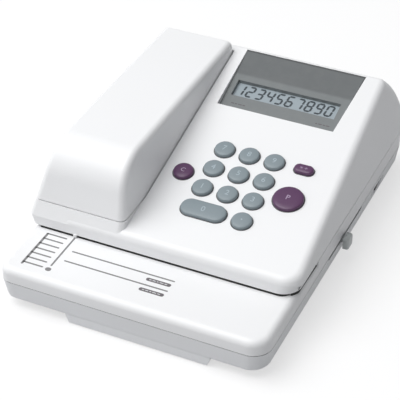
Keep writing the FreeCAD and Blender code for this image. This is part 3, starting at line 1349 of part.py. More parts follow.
def pinch_spring():
    """Coil spring of round wire between the fork and its bracket."""
    low = PINCH_Z + PINCH_R + FORK_RISE
    x, y = sum(HOLDER_X) / 2, sum(HOLDER_Y) / 2
    height = BRACKET_Z - low - 2 * (SPRING_WIRE_R + RUN)
    steps = 12 * SPRING_TURNS
    points = []
    for number in range(steps + 1):
        angle = 2 * math.pi * SPRING_TURNS * number / steps
        points.append(Vector(x + SPRING_R * math.cos(angle), y + SPRING_R * math.sin(angle),
                             low + SPRING_WIRE_R + RUN + height * number / steps))
    curve = Part.BSplineCurve()
    curve.interpolate(points)
    section = Part.Wire(Part.makeCircle(SPRING_WIRE_R, points[0], curve.tangent(0)[0]))
    return Part.Wire(curve.toShape()).makePipeShell([section], True, True)


def pinch_bracket():
    x0, x1 = HOLDER_X[0] - 1, HOLDER_X[1] + 0.5
    y0 = FRONT_PLATE_Y + PLATE
    arm = box(x0, x1, y0, HOLDER_Y[1], BRACKET_Z, BRACKET_Z + BRACKET_THICK)
    tab = box(x0, x1, y0, y0 + 1, BRACKET_Z, BRACKET_Z + BRACKET_TAB)
    hole = rod_z(sum(HOLDER_X) / 2, sum(HOLDER_Y) / 2, 0, REACH, STEM_R + 2 * RUN)
    return fuse([arm, tab]).cut(hole)


def head_brackets():
    """The two brackets on the front plate."""
    return group([ink_holder(), pinch_bracket()])


# ---------------------------------------------------------------- power and boards
def battery_door():
    door = box(BOX_X[0] + PRESS, BOX_X[1] - PRESS, BOX_Y[0] + PRESS, BOX_Y[1] - PRESS, *DOOR_Z)
    x0, x1, start = GRIP
    for number in range(GRIP_LINES):
        y = BOX_Y[0] + start + 2 * GRIP_WIDE * number
        door = door.cut(box(x0, x1, y, y + GRIP_WIDE, 0, DOOR_Z[0] + 0.5))
    return door


def batteries():
    middle = sum(BOX_X) / 2
    cells = []
    radius, high = CELL_CAP
    for y in (BOX_Y[0] + CELL_R + CELL_GAP, BOX_Y[1] - CELL_R - CELL_GAP):
        for x in (middle - CELL_LENGTH, middle + PUSH):
            can = rod_x(x, x + CELL_LENGTH - high, y, cell_z(), CELL_R)
            can = can.makeFillet(1.0, edges_where(can, lambda e, c, b: b.XLength < 0.01))
            cells.append(can.fuse(rod_x(x + CELL_LENGTH - high - 0.4, x + CELL_LENGTH, y, cell_z(), radius)))
    return group(cells)


def battery_contacts():
    pieces = []
    wide, high = CONTACT
    for x0, x1 in ((BOX_X[0] + SEAT, BOX_X[0] + 0.5), (BOX_X[1] - 0.5, BOX_X[1] - SEAT)):
        for y in (BOX_Y[0] + CELL_R, BOX_Y[1] - CELL_R):
            pieces.append(box(x0, x1, y - wide / 2, y + wide / 2, cell_z() - high / 2, cell_z() + high / 2))
    return group(pieces)


def rubber_feet():
    feet = []
    for x, y in feet_centres():
        foot = rod_z(x, y, 0, BASE_FLOOR + FOOT_SEAT, FOOT_R)
        feet.append(foot.makeFillet(1.0, edges_where(foot, lambda e, c, b: b.ZMax < 0.01)))
    return group(feet)


def main_board():
    x0, x1 = BOARD_X
    y0, y1 = BOARD_Y
    top = BOARD_Z + BOARD_THICK
    board = box(x0, x1, y0, y1, BOARD_Z, top)
    for x, y in board_posts():
        board = board.cut(rod_z(x, y, 0, REACH, SCREW_R + AIR))
    chips = [box(x0 + x, x0 + x + wide, y0 + y, y0 + y + long, top, top + high)
             for x, y, wide, long, high in BOARD_BLOCKS]
    cans = [rod_z(x0 + x, y0 + y, top, top + high, radius) for x, y, high, radius in BOARD_CANS]
    return fuse([board] + chips + cans)


def ribbon_plug():
    """Top end of the ribbon cable, below the keypad board's plug: (y, z)."""
    s = keypad_area(PAD_MARGIN)[3] - PAD_PLUG_IN - PAD_PLUG[1] / 2
    depth = PAD_DEPTH + PAD_THICK + BOARD_THICK + PAD_PLUG[2]
    return (PANEL_Y + s * math.cos(SLOPE) + depth * math.sin(SLOPE),
            PANEL_Z + s * math.sin(SLOPE) - depth * math.cos(SLOPE))


def ribbon_cable():
    """Flat cable from the keypad board down to the main board."""
    thick, bend, wide = RIBBON
    y0, z0 = ribbon_plug()
    y1, z1 = BOARD_Y[0] + RIBBON_Y, BOARD_Z + BOARD_THICK + 8
    path = [(y0 + 2, z0 + 1.2), (y0 + 2, z0 - 10), (y1, z1 + 14), (y1, z1)]
    sides = []
    for move, turn in ((-thick / 2, bend), (thick / 2, bend)):
        line = [(y + move, z) for y, z in path]
        first = corner(line[0], line[1], line[2], turn)
        second = corner(line[1], line[2], line[3], turn)
        sides.append((line[0], first, second, line[3]))
    (a0, a1, a2, a3), (b0, b1, b2, b3) = sides
    points = [a0, a1[0], ("arc", a1[1], a1[2]), a2[0], ("arc", a2[1], a2[2]), a3,
              b3, b2[2], ("arc", b2[1], b2[0]), b1[2], ("arc", b1[1], b1[0]), b0]
    x = BOARD_X[0] + RIBBON_X
    return side_prism(points, x - wide / 2, x + wide / 2)


def switch_body():
    inner = BASE_RIGHT - WALL - BASE_DRAFT
    near, far = SWITCH_IN
    return box(inner - far, inner - near, SWITCH_Y[0] - 1, SWITCH_Y[1] + 1, FLOOR_TOP, SWITCH_Z[1] + 1.5)


def power_switch():
    inner = BASE_RIGHT - WALL - BASE_DRAFT
    y0, y1 = SWITCH_Y
    z0, z1 = SWITCH_Z
    plate = box(inner - 1.9, inner - AIR, y0 - 1, y1 - SWITCH_TRAVEL, z0 - 1, z1 + 0.5)
    middle = y0 + SWITCH_NUB_AT
    nub = box(inner - 1, BASE_RIGHT - SWITCH_SINK / 2, middle - SWITCH_NUB / 2, middle + SWITCH_NUB / 2,
              z0 + 1.3, z1 - 1.3)
    return fuse([plate, nub])


def dc_jack():
    x, z = JACK_X, JACK_Z
    rear = BASE_DEPTH - BASE_DRAFT * (SEAM_Z - z) / (SEAM_Z - BASE_FLOOR)
    wall = BASE_DEPTH - WALL - BASE_DRAFT - 0.4
    body = box(x - JACK_HALF, x + JACK_HALF, rear - JACK_DEPTH - 3, wall, FLOOR_TOP, z + JACK_ABOVE)
    barrel = rod_y(x, wall - 1, rear, z, BOSS_R)
    return fuse([body, barrel]).cut(rod_y(x, rear - JACK_DEPTH, rear + 5, z, JACK_R))


def screw(x, y, z0, z1):
    """Screw with its head below z0, pointing up."""
    head = rod_z(x, y, z0 - SCREW_HEAD[1], z0, HEAD_R)
    return head.fuse(rod_z(x, y, z0 - 0.5, z1, SCREW_R - SHANK_FIT))


def case_screws():
    """Screws from below: two into the paper table, four into the upper housing."""
    seat = FLOOR_TOP + HEAD_DEPTH
    table = [screw(x, y, seat, TABLE_Z - TABLE_PLATE - 1) for x, y in front_posts()]
    housing = [screw(x, y, seat, HOUSING_Z + 6) for x, y in housing_posts()]
    return group(table + housing)


def board_screws():
    """Screws of the main board, heads up, and of the keypad board, heads down."""
    radius, high = SCREW_HEAD
    bolts = []
    top = BOARD_Z + BOARD_THICK
    for x, y in board_posts():
        shank = rod_z(x, y, FLOOR_TOP + AIR, top + 0.5, SCREW_R - SHANK_FIT)
        bolts.append(rod_z(x, y, top, top + high, radius).fuse(shank))
    under = -PAD_DEPTH - PAD_THICK - BOARD_THICK
    for x, s in pad_posts():
        shank = rod_z(x, s, under - 0.5, -WALL - 1.5, SCREW_R - 2 * SHANK_FIT)
        bolts.append(on_panel(rod_z(x, s, under - high, under, radius).fuse(shank)))
    return group(bolts)


# ---------------------------------------------------------------- writing
PIECES = [base_housing, paper_table, upper_housing, print_cover, hinge_pins, paper_guide, display_bezel,
          lcd_panel, lcd_holder, keypad_membrane, keypad_board, main_board, ribbon_cable, paper_stop,
          stop_lever, frame_plates, frame_spacers, shaft_bushes, print_shaft,
          type_wheel, print_gear, reduction_gear, motor_pinion, drive_motor, feed_shaft, feed_roller,
          feed_gear, platen_shaft, platen_roller, roller_cradle, pinch_holder, pinch_roller, pinch_shaft,
          pinch_spring, head_brackets, ink_roller, ink_shaft, battery_door, batteries,
          battery_contacts, power_switch, switch_body, dc_jack, rubber_feet, case_screws, board_screws]


def origin():
    """Point on the desk below the middle of the whole machine."""
    left = BASE_LEFT + WAIST_OUT
    right = BASE_RIGHT + KNOB_GAP + KNOB[0]
    return Vector((right - left) / 2, BASE_DEPTH / 2, 0)


def write(name, shape):
    shape.translate(origin() * -1)
    shape.exportStep("parts/%s.step" % name)


def main():
    os.makedirs("parts", exist_ok=True)
    for piece in PIECES:
        write(piece.__name__, piece())
    for name, x, s, width, depth in key_table():
        write(name, on_panel(key(width, depth), x, s))


if __name__ == "__main__":
    main()
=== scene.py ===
"""Keypad check writer: its finishes and fine detail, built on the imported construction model."""

import logging
import math
from dataclasses import dataclass, field
from enum import Enum
from typing import ClassVar, Iterable, Optional, Sequence

import bmesh
import bpy
from mathutils import Matrix, Vector


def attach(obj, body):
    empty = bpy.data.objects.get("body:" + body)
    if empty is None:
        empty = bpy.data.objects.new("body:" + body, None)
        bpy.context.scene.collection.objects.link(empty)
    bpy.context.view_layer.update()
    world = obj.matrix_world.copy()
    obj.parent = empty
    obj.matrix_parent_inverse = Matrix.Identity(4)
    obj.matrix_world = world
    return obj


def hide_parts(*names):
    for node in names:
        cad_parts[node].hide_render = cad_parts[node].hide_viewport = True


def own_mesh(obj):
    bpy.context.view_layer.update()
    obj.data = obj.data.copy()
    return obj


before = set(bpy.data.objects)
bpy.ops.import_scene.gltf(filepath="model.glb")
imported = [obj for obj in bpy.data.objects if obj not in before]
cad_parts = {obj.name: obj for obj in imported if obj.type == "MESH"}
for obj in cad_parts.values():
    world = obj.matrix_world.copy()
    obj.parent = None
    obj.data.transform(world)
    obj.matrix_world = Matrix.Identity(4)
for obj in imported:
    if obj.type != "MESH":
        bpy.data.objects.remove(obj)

LOG = logging.getLogger("check_writer")
Colour = tuple[float, float, float]
MM = 0.001
MIDDLE = -0.95  # the machine's own middle and front edge, in the frame's millimetres
FRONT = -141.0
MESH_GAP = 0.0001 * MM  # corners nearer than this are one corner
SHARP_FROM = math.radians(35.0)  # edges that turn by more than this stay sharp


class Body(str, Enum):
    """Moving groups of the machine that new pieces ride on."""

    MACHINE = "machine"
    STOP = "paper_stop"
    WHEEL = "print_wheel"
    DOOR = "battery_door"


class Face(Enum):
    """What a key's top carries."""

    DIGIT = "digit"
    FUNCTION = "function"


# ------------------------------------------------------------------ shader groups
def new_group(name: str, inputs: Sequence[tuple], outputs: Sequence[tuple]) -> bpy.types.NodeTree:
    """Make an empty shader node group.

    Args:
        name: Name of the group.
        inputs: Name, socket type and default value of each input.
        outputs: Name and socket type of each output.

    Returns:
        The group, with one Group Input and one Group Output node in it.
    """
    tree = bpy.data.node_groups.new(name, "ShaderNodeTree")
    for label, kind, value in inputs:
        socket = tree.interface.new_socket(name=label, in_out="INPUT", socket_type=kind)
        if value is not None:
            socket.default_value = value
    for label, kind in outputs:
        tree.interface.new_socket(name=label, in_out="OUTPUT", socket_type=kind)
    tree.nodes.new("NodeGroupInput").name = "in"
    tree.nodes.new("NodeGroupOutput").name = "out"
    return tree


class NodeSheet:
    """Short calls that add nodes to a node tree and join them."""

    def __init__(self, tree: bpy.types.NodeTree) -> None:
        """Keep the tree that nodes are added to."""
        self.tree = tree

    def add(self, kind: str, values: Optional[dict] = None, **settings: object) -> bpy.types.Node:
        """Add a node.

        Args:
            kind: Type of the node, without the ShaderNode prefix.
            values: Input name or number to a value or to the output socket that feeds it.
            settings: Settings of the node itself.

        Returns:
            The new node.
        """
        node = self.tree.nodes.new("ShaderNode" + kind)
        for key, value in settings.items():
            setattr(node, key, value)
        for key, value in (values or {}).items():
            if isinstance(value, bpy.types.NodeSocket):
                self.tree.links.new(value, node.inputs[key])
            else:
                node.inputs[key].default_value = value
        return node

    def math(self, operation: str, first: object, second: object = 0.0) -> bpy.types.NodeSocket:
        """Result of one arithmetic step on two values or sockets."""
        return self.add("Math", {0: first, 1: second}, operation=operation).outputs[0]

    def remap(self, value: object, low: float, high: float, to_low: float,
              to_high: float) -> bpy.types.NodeSocket:
        """Value moved from one range to another, and held inside it."""
        spans = {"Value": value, "From Min": low, "From Max": high, "To Min": to_low, "To Max": to_high}
        return self.add("MapRange", spans).outputs["Result"]

    def blend(self, share: object, first: object, second: object) -> bpy.types.NodeSocket:
        """Colour between two colours or sockets, by the share of the second."""
        return self.add("Mix", {"Factor": share, 6: first, 7: second}, data_type="RGBA").outputs[2]

    def group(self, tree: bpy.types.NodeTree, values: dict) -> bpy.types.bpy_prop_collection:
        """Output sockets of a shared group that is placed here with its own values."""
        return self.add("Group", values, node_tree=tree).outputs

    def feed(self, node: bpy.types.Node, sources: dict[str, bpy.types.NodeSocket]) -> None:
        """Join output sockets to a node's inputs, by the inputs' names."""
        for name, socket in sources.items():
            self.tree.links.new(socket, node.inputs[name])


class ShaderGroups:
    """Effects that more than one finish uses, each built once. Scales are per metre, steps in metres."""

    grain_shares: tuple[float, float] = (0.6, 0.5)
    grain_step: float = 0.0001
    cloud_span: tuple[float, float] = (0.35, 0.7)
    cloud_share: float = 0.8
    fleck_scale: float = 2600.0
    fleck_share: float = 0.4
    scuff_turn: tuple[float, float, float] = (0.2, 0.1, 0.7)
    scuff_stretch: tuple[float, float, float] = (30.0, 900.0, 400.0)
    scuff_span: tuple[float, float] = (0.62, 0.75)
    scuff_share: float = 0.5
    dust_scale: float = 160.0
    dust_span: tuple[float, float] = (0.4, 0.75)
    dust_least: float = 0.2
    dust_facing: float = 0.2
    line_stretch: tuple[float, float, float] = (80.0, 80.0, 4000.0)
    line_span: tuple[float, float] = (0.3, 0.7)
    line_change: tuple[float, float] = (-0.08, 0.12)
    line_step: float = 0.00005

    def __init__(self) -> None:
        """Build every group."""
        self.grain = self._grain()
        self.drift = self._drift()
        self.handled = self._handled()
        self.dust = self._dust()
        self.brushed = self._brushed()

    @staticmethod
    def _open(tree: bpy.types.NodeTree) -> tuple[NodeSheet, dict, bpy.types.Node]:
        """The sheet, the input sockets by name and the output node of a group."""
        source = tree.nodes["in"]
        return NodeSheet(tree), {socket.name: socket for socket in source.outputs}, tree.nodes["out"]

    def _grain(self) -> bpy.types.NodeTree:
        """Fine spark-eroded texture of a moulded surface.

        Returns:
            The group.
        """
        tree = new_group(
            "moulded_grain",
            [("Vector", "NodeSocketVector", None), ("Scale", "NodeSocketFloat", 900.0),
             ("Depth", "NodeSocketFloat", 0.15)],
            [("Normal", "NodeSocketVector")],
        )
        sheet, given, result = self._open(tree)
        fine = sheet.add("TexNoise", {"Vector": given["Vector"], "Scale": given["Scale"], "Detail": 3.0,
                                      "Roughness": 0.6})
        pits = sheet.add("TexVoronoi", {"Vector": given["Vector"], "Scale": given["Scale"]},
                         feature="SMOOTH_F1")
        fine_share, pit_share = self.grain_shares
        height = sheet.math("ADD", sheet.math("MULTIPLY", fine.outputs["Fac"], fine_share),
                            sheet.math("MULTIPLY", pits.outputs["Distance"], pit_share))
        bump = sheet.add("Bump", {"Strength": given["Depth"], "Distance": self.grain_step, "Height": height})
        sheet.feed(result, {"Normal": bump.outputs["Normal"]})
        return tree

    def _drift(self) -> bpy.types.NodeTree:
        """Slow drift of tone over a surface, with fine flecks.

        Returns:
            The group.
        """
        tree = new_group(
            "tone_drift",
            [("Vector", "NodeSocketVector", None), ("Color", "NodeSocketColor", (0.8, 0.8, 0.8, 1)),
             ("Tint", "NodeSocketColor", (0.8, 0.78, 0.7, 1)), ("Amount", "NodeSocketFloat", 0.1),
             ("Scale", "NodeSocketFloat", 14.0)],
            [("Color", "NodeSocketColor")],
        )
        sheet, given, result = self._open(tree)
        cloud = sheet.add("TexNoise", {"Vector": given["Vector"], "Scale": given["Scale"], "Detail": 4.0})
        soft = sheet.remap(cloud.outputs["Fac"], *self.cloud_span, 0.0, 1.0)
        fleck = sheet.add("TexNoise", {"Vector": given["Vector"], "Scale": self.fleck_scale, "Detail": 1.0})
        mask = sheet.math("ADD", sheet.math("MULTIPLY", soft, self.cloud_share),
                          sheet.math("MULTIPLY", fleck.outputs["Fac"], self.fleck_share))
        share = sheet.math("MULTIPLY", mask, given["Amount"])
        sheet.feed(result, {"Color": sheet.blend(share, given["Color"], given["Tint"])})
        return tree

    def _handled(self) -> bpy.types.NodeTree:
        """Roughness that wanders in soft patches and rises in thin scuffs, where hands have rubbed.

        Returns:
            The group.
        """
        tree = new_group(
            "handled",
            [("Vector", "NodeSocketVector", None), ("Roughness", "NodeSocketFloat", 0.45),
             ("Spread", "NodeSocketFloat", 0.1), ("Scale", "NodeSocketFloat", 22.0)],
            [("Roughness", "NodeSocketFloat")],
        )
        sheet, given, result = self._open(tree)
        patch = sheet.add("TexNoise", {"Vector": given["Vector"], "Scale": given["Scale"], "Detail": 3.0})
        stretched = sheet.add("Mapping", {"Vector": given["Vector"], "Rotation": self.scuff_turn,
                                          "Scale": self.scuff_stretch})
        scuff = sheet.add("TexNoise", {"Vector": stretched.outputs["Vector"], "Scale": 1.0, "Detail": 2.0})
        lines = sheet.remap(scuff.outputs["Fac"], *self.scuff_span, 0.0, self.scuff_share)
        mask = sheet.math("ADD", sheet.math("SUBTRACT", patch.outputs["Fac"], 0.5), lines)
        change = sheet.math("MULTIPLY", mask, given["Spread"])
        rough = sheet.add("Math", {0: given["Roughness"], 1: change}, operation="ADD", use_clamp=True)
        sheet.feed(result, {"Roughness": rough.outputs[0]})
        return tree

    def _dust(self) -> bpy.types.NodeTree:
        """Pale dust that settles on what faces up.

        Returns:
            The group.
        """
        tree = new_group(
            "settled_dust",
            [("Vector", "NodeSocketVector", None), ("Color", "NodeSocketColor", (0.1, 0.1, 0.1, 1)),
             ("Dust", "NodeSocketColor", (0.5, 0.49, 0.46, 1)), ("Amount", "NodeSocketFloat", 0.15)],
            [("Color", "NodeSocketColor")],
        )
        sheet, given, result = self._open(tree)
        normal = sheet.add("NewGeometry").outputs["Normal"]
        upward = sheet.add("SeparateXYZ", {"Vector": normal}).outputs["Z"]
        facing = sheet.remap(upward, self.dust_facing, 1.0, 0.0, 1.0)
        cloud = sheet.add("TexNoise", {"Vector": given["Vector"], "Scale": self.dust_scale, "Detail": 5.0})
        patches = sheet.remap(cloud.outputs["Fac"], *self.dust_span, self.dust_least, 1.0)
        mask = sheet.math("MULTIPLY", facing, patches)
        share = sheet.math("MULTIPLY", mask, given["Amount"])
        sheet.feed(result, {"Color": sheet.blend(share, given["Color"], given["Dust"])})
        return tree

    def _brushed(self) -> bpy.types.NodeTree:
        """Fine parallel lines of rolled or turned metal.

        Returns:
            The group.
        """
        tree = new_group(
            "brushed_lines",
            [("Vector", "NodeSocketVector", None), ("Roughness", "NodeSocketFloat", 0.3),
             ("Depth", "NodeSocketFloat", 0.1)],
            [("Roughness", "NodeSocketFloat"), ("Normal", "NodeSocketVector")],
        )
        sheet, given, result = self._open(tree)
        stretched = sheet.add("Mapping", {"Vector": given["Vector"], "Scale": self.line_stretch})
        lines = sheet.add("TexNoise", {"Vector": stretched.outputs["Vector"], "Scale": 1.0, "Detail": 3.0})
        height = lines.outputs["Fac"]
        change = sheet.remap(height, *self.line_span, *self.line_change)
        rough = sheet.math("ADD", given["Roughness"], change)
        bump = sheet.add("Bump", {"Strength": given["Depth"], "Distance": self.line_step, "Height": height})
        sheet.feed(result, {"Roughness": rough, "Normal": bump.outputs["Normal"]})
        return tree


# ------------------------------------------------------------------ finishes
@dataclass(frozen=True)
class Finish:
    """A finish: its name, colour and how shiny it is."""

    name: str
    colour: Colour
    roughness: float = 0.45

    def sheet(self) -> tuple[bpy.types.Material, NodeSheet, bpy.types.Node, bpy.types.NodeSocket]:
        """Start the material.

        Returns:
            The material, its sheet, the Principled BSDF and the object coordinates.
        """
        material = bpy.data.materials.new(self.name)
        material.use_nodes = True
        material.diffuse_color = (*self.colour, 1)
        material.node_tree.nodes.clear()
        sheet = NodeSheet(material.node_tree)
        surface = sheet.add("BsdfPrincipled", {"Base Color": (*self.colour, 1), "Roughness": self.roughness})
        sheet.add("OutputMaterial", {"Surface": surface.outputs["BSDF"]})
        return material, sheet, surface, sheet.add("TexCoord").outputs["Object"]

    def build(self, groups: ShaderGroups) -> bpy.types.Material:
        """Make the material.

        Args:
            groups: The shared shader groups.

        Returns:
            The material.
        """
        raise NotImplementedError


@dataclass(frozen=True)
class MouldedPlastic(Finish):
    """Moulded plastic with a fine grain, a slow drift of tone and rubbed patches."""

    tint: Colour = (0.74, 0.73, 0.68)
    drift: float = 0.12
    grain: float = 1100.0
    depth: float = 0.12
    spread: float = 0.14
    dust: float = 0.0
    ior: float = 1.5

    def build(self, groups: ShaderGroups) -> bpy.types.Material:
        """Make the material.

        Args:
            groups: The shared shader groups.

        Returns:
            The material.
        """
        material, sheet, surface, place = self.sheet()
        tone = sheet.group(groups.drift, {"Vector": place, "Color": (*self.colour, 1),
                                          "Tint": (*self.tint, 1), "Amount": self.drift})
        colour = tone["Color"]
        if self.dust:
            film = sheet.group(groups.dust, {"Vector": place, "Color": colour, "Amount": self.dust})
            colour = film["Color"]
        worn = sheet.group(groups.handled, {"Vector": place, "Roughness": self.roughness,
                                            "Spread": self.spread})
        skin = sheet.group(groups.grain, {"Vector": place, "Scale": self.grain, "Depth": self.depth})
        sheet.feed(surface, {"Base Color": colour, "Roughness": worn["Roughness"], "Normal": skin["Normal"]})
        surface.inputs["IOR"].default_value = self.ior
        return material


@dataclass(frozen=True)
class Metal(Finish):
    """Bare metal with fine lines and a dull film."""

    film: Colour = (0.3, 0.29, 0.27)
    film_share: float = 0.25
    film_scale: float = 60.0
    lines: float = 0.15

    def build(self, groups: ShaderGroups) -> bpy.types.Material:
        """Make the material.

        Args:
            groups: The shared shader groups.

        Returns:
            The material.
        """
        material, sheet, surface, place = self.sheet()
        tone = sheet.group(groups.drift, {"Vector": place, "Color": (*self.colour, 1),
                                          "Tint": (*self.film, 1), "Amount": self.film_share,
                                          "Scale": self.film_scale})
        brushed = sheet.group(groups.brushed, {"Vector": place, "Roughness": self.roughness,
                                               "Depth": self.lines})
        sheet.feed(surface, {"Base Color": tone["Color"], "Roughness": brushed["Roughness"],
                             "Normal": brushed["Normal"]})
        surface.inputs["Metallic"].default_value = 1.0
        return material


@dataclass(frozen=True)
class WindowTint(Finish):
    """Smoked window plate: one tone behind the display, a darker one above it."""

    upper: Colour = (0.13, 0.14, 0.145)
    border: float = 0.0
    fade: float = 0.0012
    slope: float = 0.0
    dust: float = 0.05
    spread: float = 0.02
    grain: float = 500.0
    depth: float = 0.02
    coat: float = 0.3
    coat_roughness: float = 0.08

    def build(self, groups: ShaderGroups) -> bpy.types.Material:
        """Make the material.

        Args:
            groups: The shared shader groups.

        Returns:
            The material.
        """
        material, sheet, surface, place = self.sheet()
        turned = sheet.add("Mapping", {"Vector": place, "Rotation": (-self.slope, 0.0, 0.0)})
        along = sheet.add("SeparateXYZ", {"Vector": turned.outputs["Vector"]}).outputs["Y"]
        share = sheet.remap(along, self.border - self.fade, self.border + self.fade, 0.0, 1.0)
        zones = sheet.blend(share, (*self.colour, 1), (*self.upper, 1))
        film = sheet.group(groups.dust, {"Vector": place, "Color": zones, "Amount": self.dust})
        worn = sheet.group(groups.handled, {"Vector": place, "Roughness": self.roughness,
                                            "Spread": self.spread})
        skin = sheet.group(groups.grain, {"Vector": place, "Scale": self.grain, "Depth": self.depth})
        sheet.feed(surface, {"Base Color": film["Color"], "Roughness": worn["Roughness"],
                             "Normal": skin["Normal"]})
        surface.inputs["Coat Weight"].default_value = self.coat
        surface.inputs["Coat Roughness"].default_value = self.coat_roughness
        return material


@dataclass(frozen=True)
class DisplayFilm(Finish):
    """Grey-blue reflector behind the display's digits, with its fine dot mesh."""

    tint: Colour = (0.28, 0.35, 0.39)
    drift: float = 0.2
    cloud_scale: float = 30.0
    dots: float = 2600.0
    dot_reach: float = 0.6
    dot_shine: tuple[float, float] = (0.24, 0.34)
    dot_depth: float = 0.06
    dot_step: float = 0.00004
    coat: float = 0.35
    coat_roughness: float = 0.04

    def build(self, groups: ShaderGroups) -> bpy.types.Material:
        """Make the material.

        Args:
            groups: The shared shader groups.

        Returns:
            The material.
        """
        material, sheet, surface, place = self.sheet()
        tone = sheet.group(groups.drift, {"Vector": place, "Color": (*self.colour, 1),
                                          "Tint": (*self.tint, 1), "Amount": self.drift,
                                          "Scale": self.cloud_scale})
        cells = sheet.add("TexVoronoi", {"Vector": place, "Scale": self.dots}, feature="F1")
        mesh = cells.outputs["Distance"]
        sparkle = sheet.remap(mesh, 0.0, self.dot_reach, *self.dot_shine)
        bump = sheet.add("Bump", {"Strength": self.dot_depth, "Distance": self.dot_step, "Height": mesh})
        sheet.feed(surface, {"Base Color": tone["Color"], "Roughness": sparkle,
                             "Normal": bump.outputs["Normal"]})
        surface.inputs["Coat Weight"].default_value = self.coat
        surface.inputs["Coat Roughness"].default_value = self.coat_roughness
        return material


@dataclass(frozen=True)
class BoardLacquer(Finish):
    """Circuit board: solder mask over copper tracks."""

    track: Colour = (0.03, 0.30, 0.12)
    tint: Colour = (0.02, 0.1, 0.05)
    drift: float = 0.3
    dust: float = 0.12
    track_scale: float = 55.0
    track_width: float = 0.03
    track_depth: float = 0.15
    track_step: float = 0.00006
    coat: float = 0.4

    def build(self, groups: ShaderGroups) -> bpy.types.Material:
        """Make the material.

        Args:
            groups: The shared shader groups.

        Returns:
            The material.
        """
        material, sheet, surface, place = self.sheet()
        tracks = sheet.add("TexBrick", {"Vector": place, "Scale": self.track_scale,
                                        "Mortar Size": self.track_width,
                                        "Color1": (*self.colour, 1), "Color2": (*self.colour, 1),
                                        "Mortar": (*self.track, 1)}).outputs
        tone = sheet.group(groups.drift, {"Vector": place, "Color": tracks["Color"],
                                          "Tint": (*self.tint, 1), "Amount": self.drift})
        film = sheet.group(groups.dust, {"Vector": place, "Color": tone["Color"], "Amount": self.dust})
        bump = sheet.add("Bump", {"Strength": self.track_depth, "Distance": self.track_step,
                                  "Height": tracks["Fac"]})
        sheet.feed(surface, {"Base Color": film["Color"], "Normal": bump.outputs["Normal"]})
        surface.inputs["Coat Weight"].default_value = self.coat
        return material


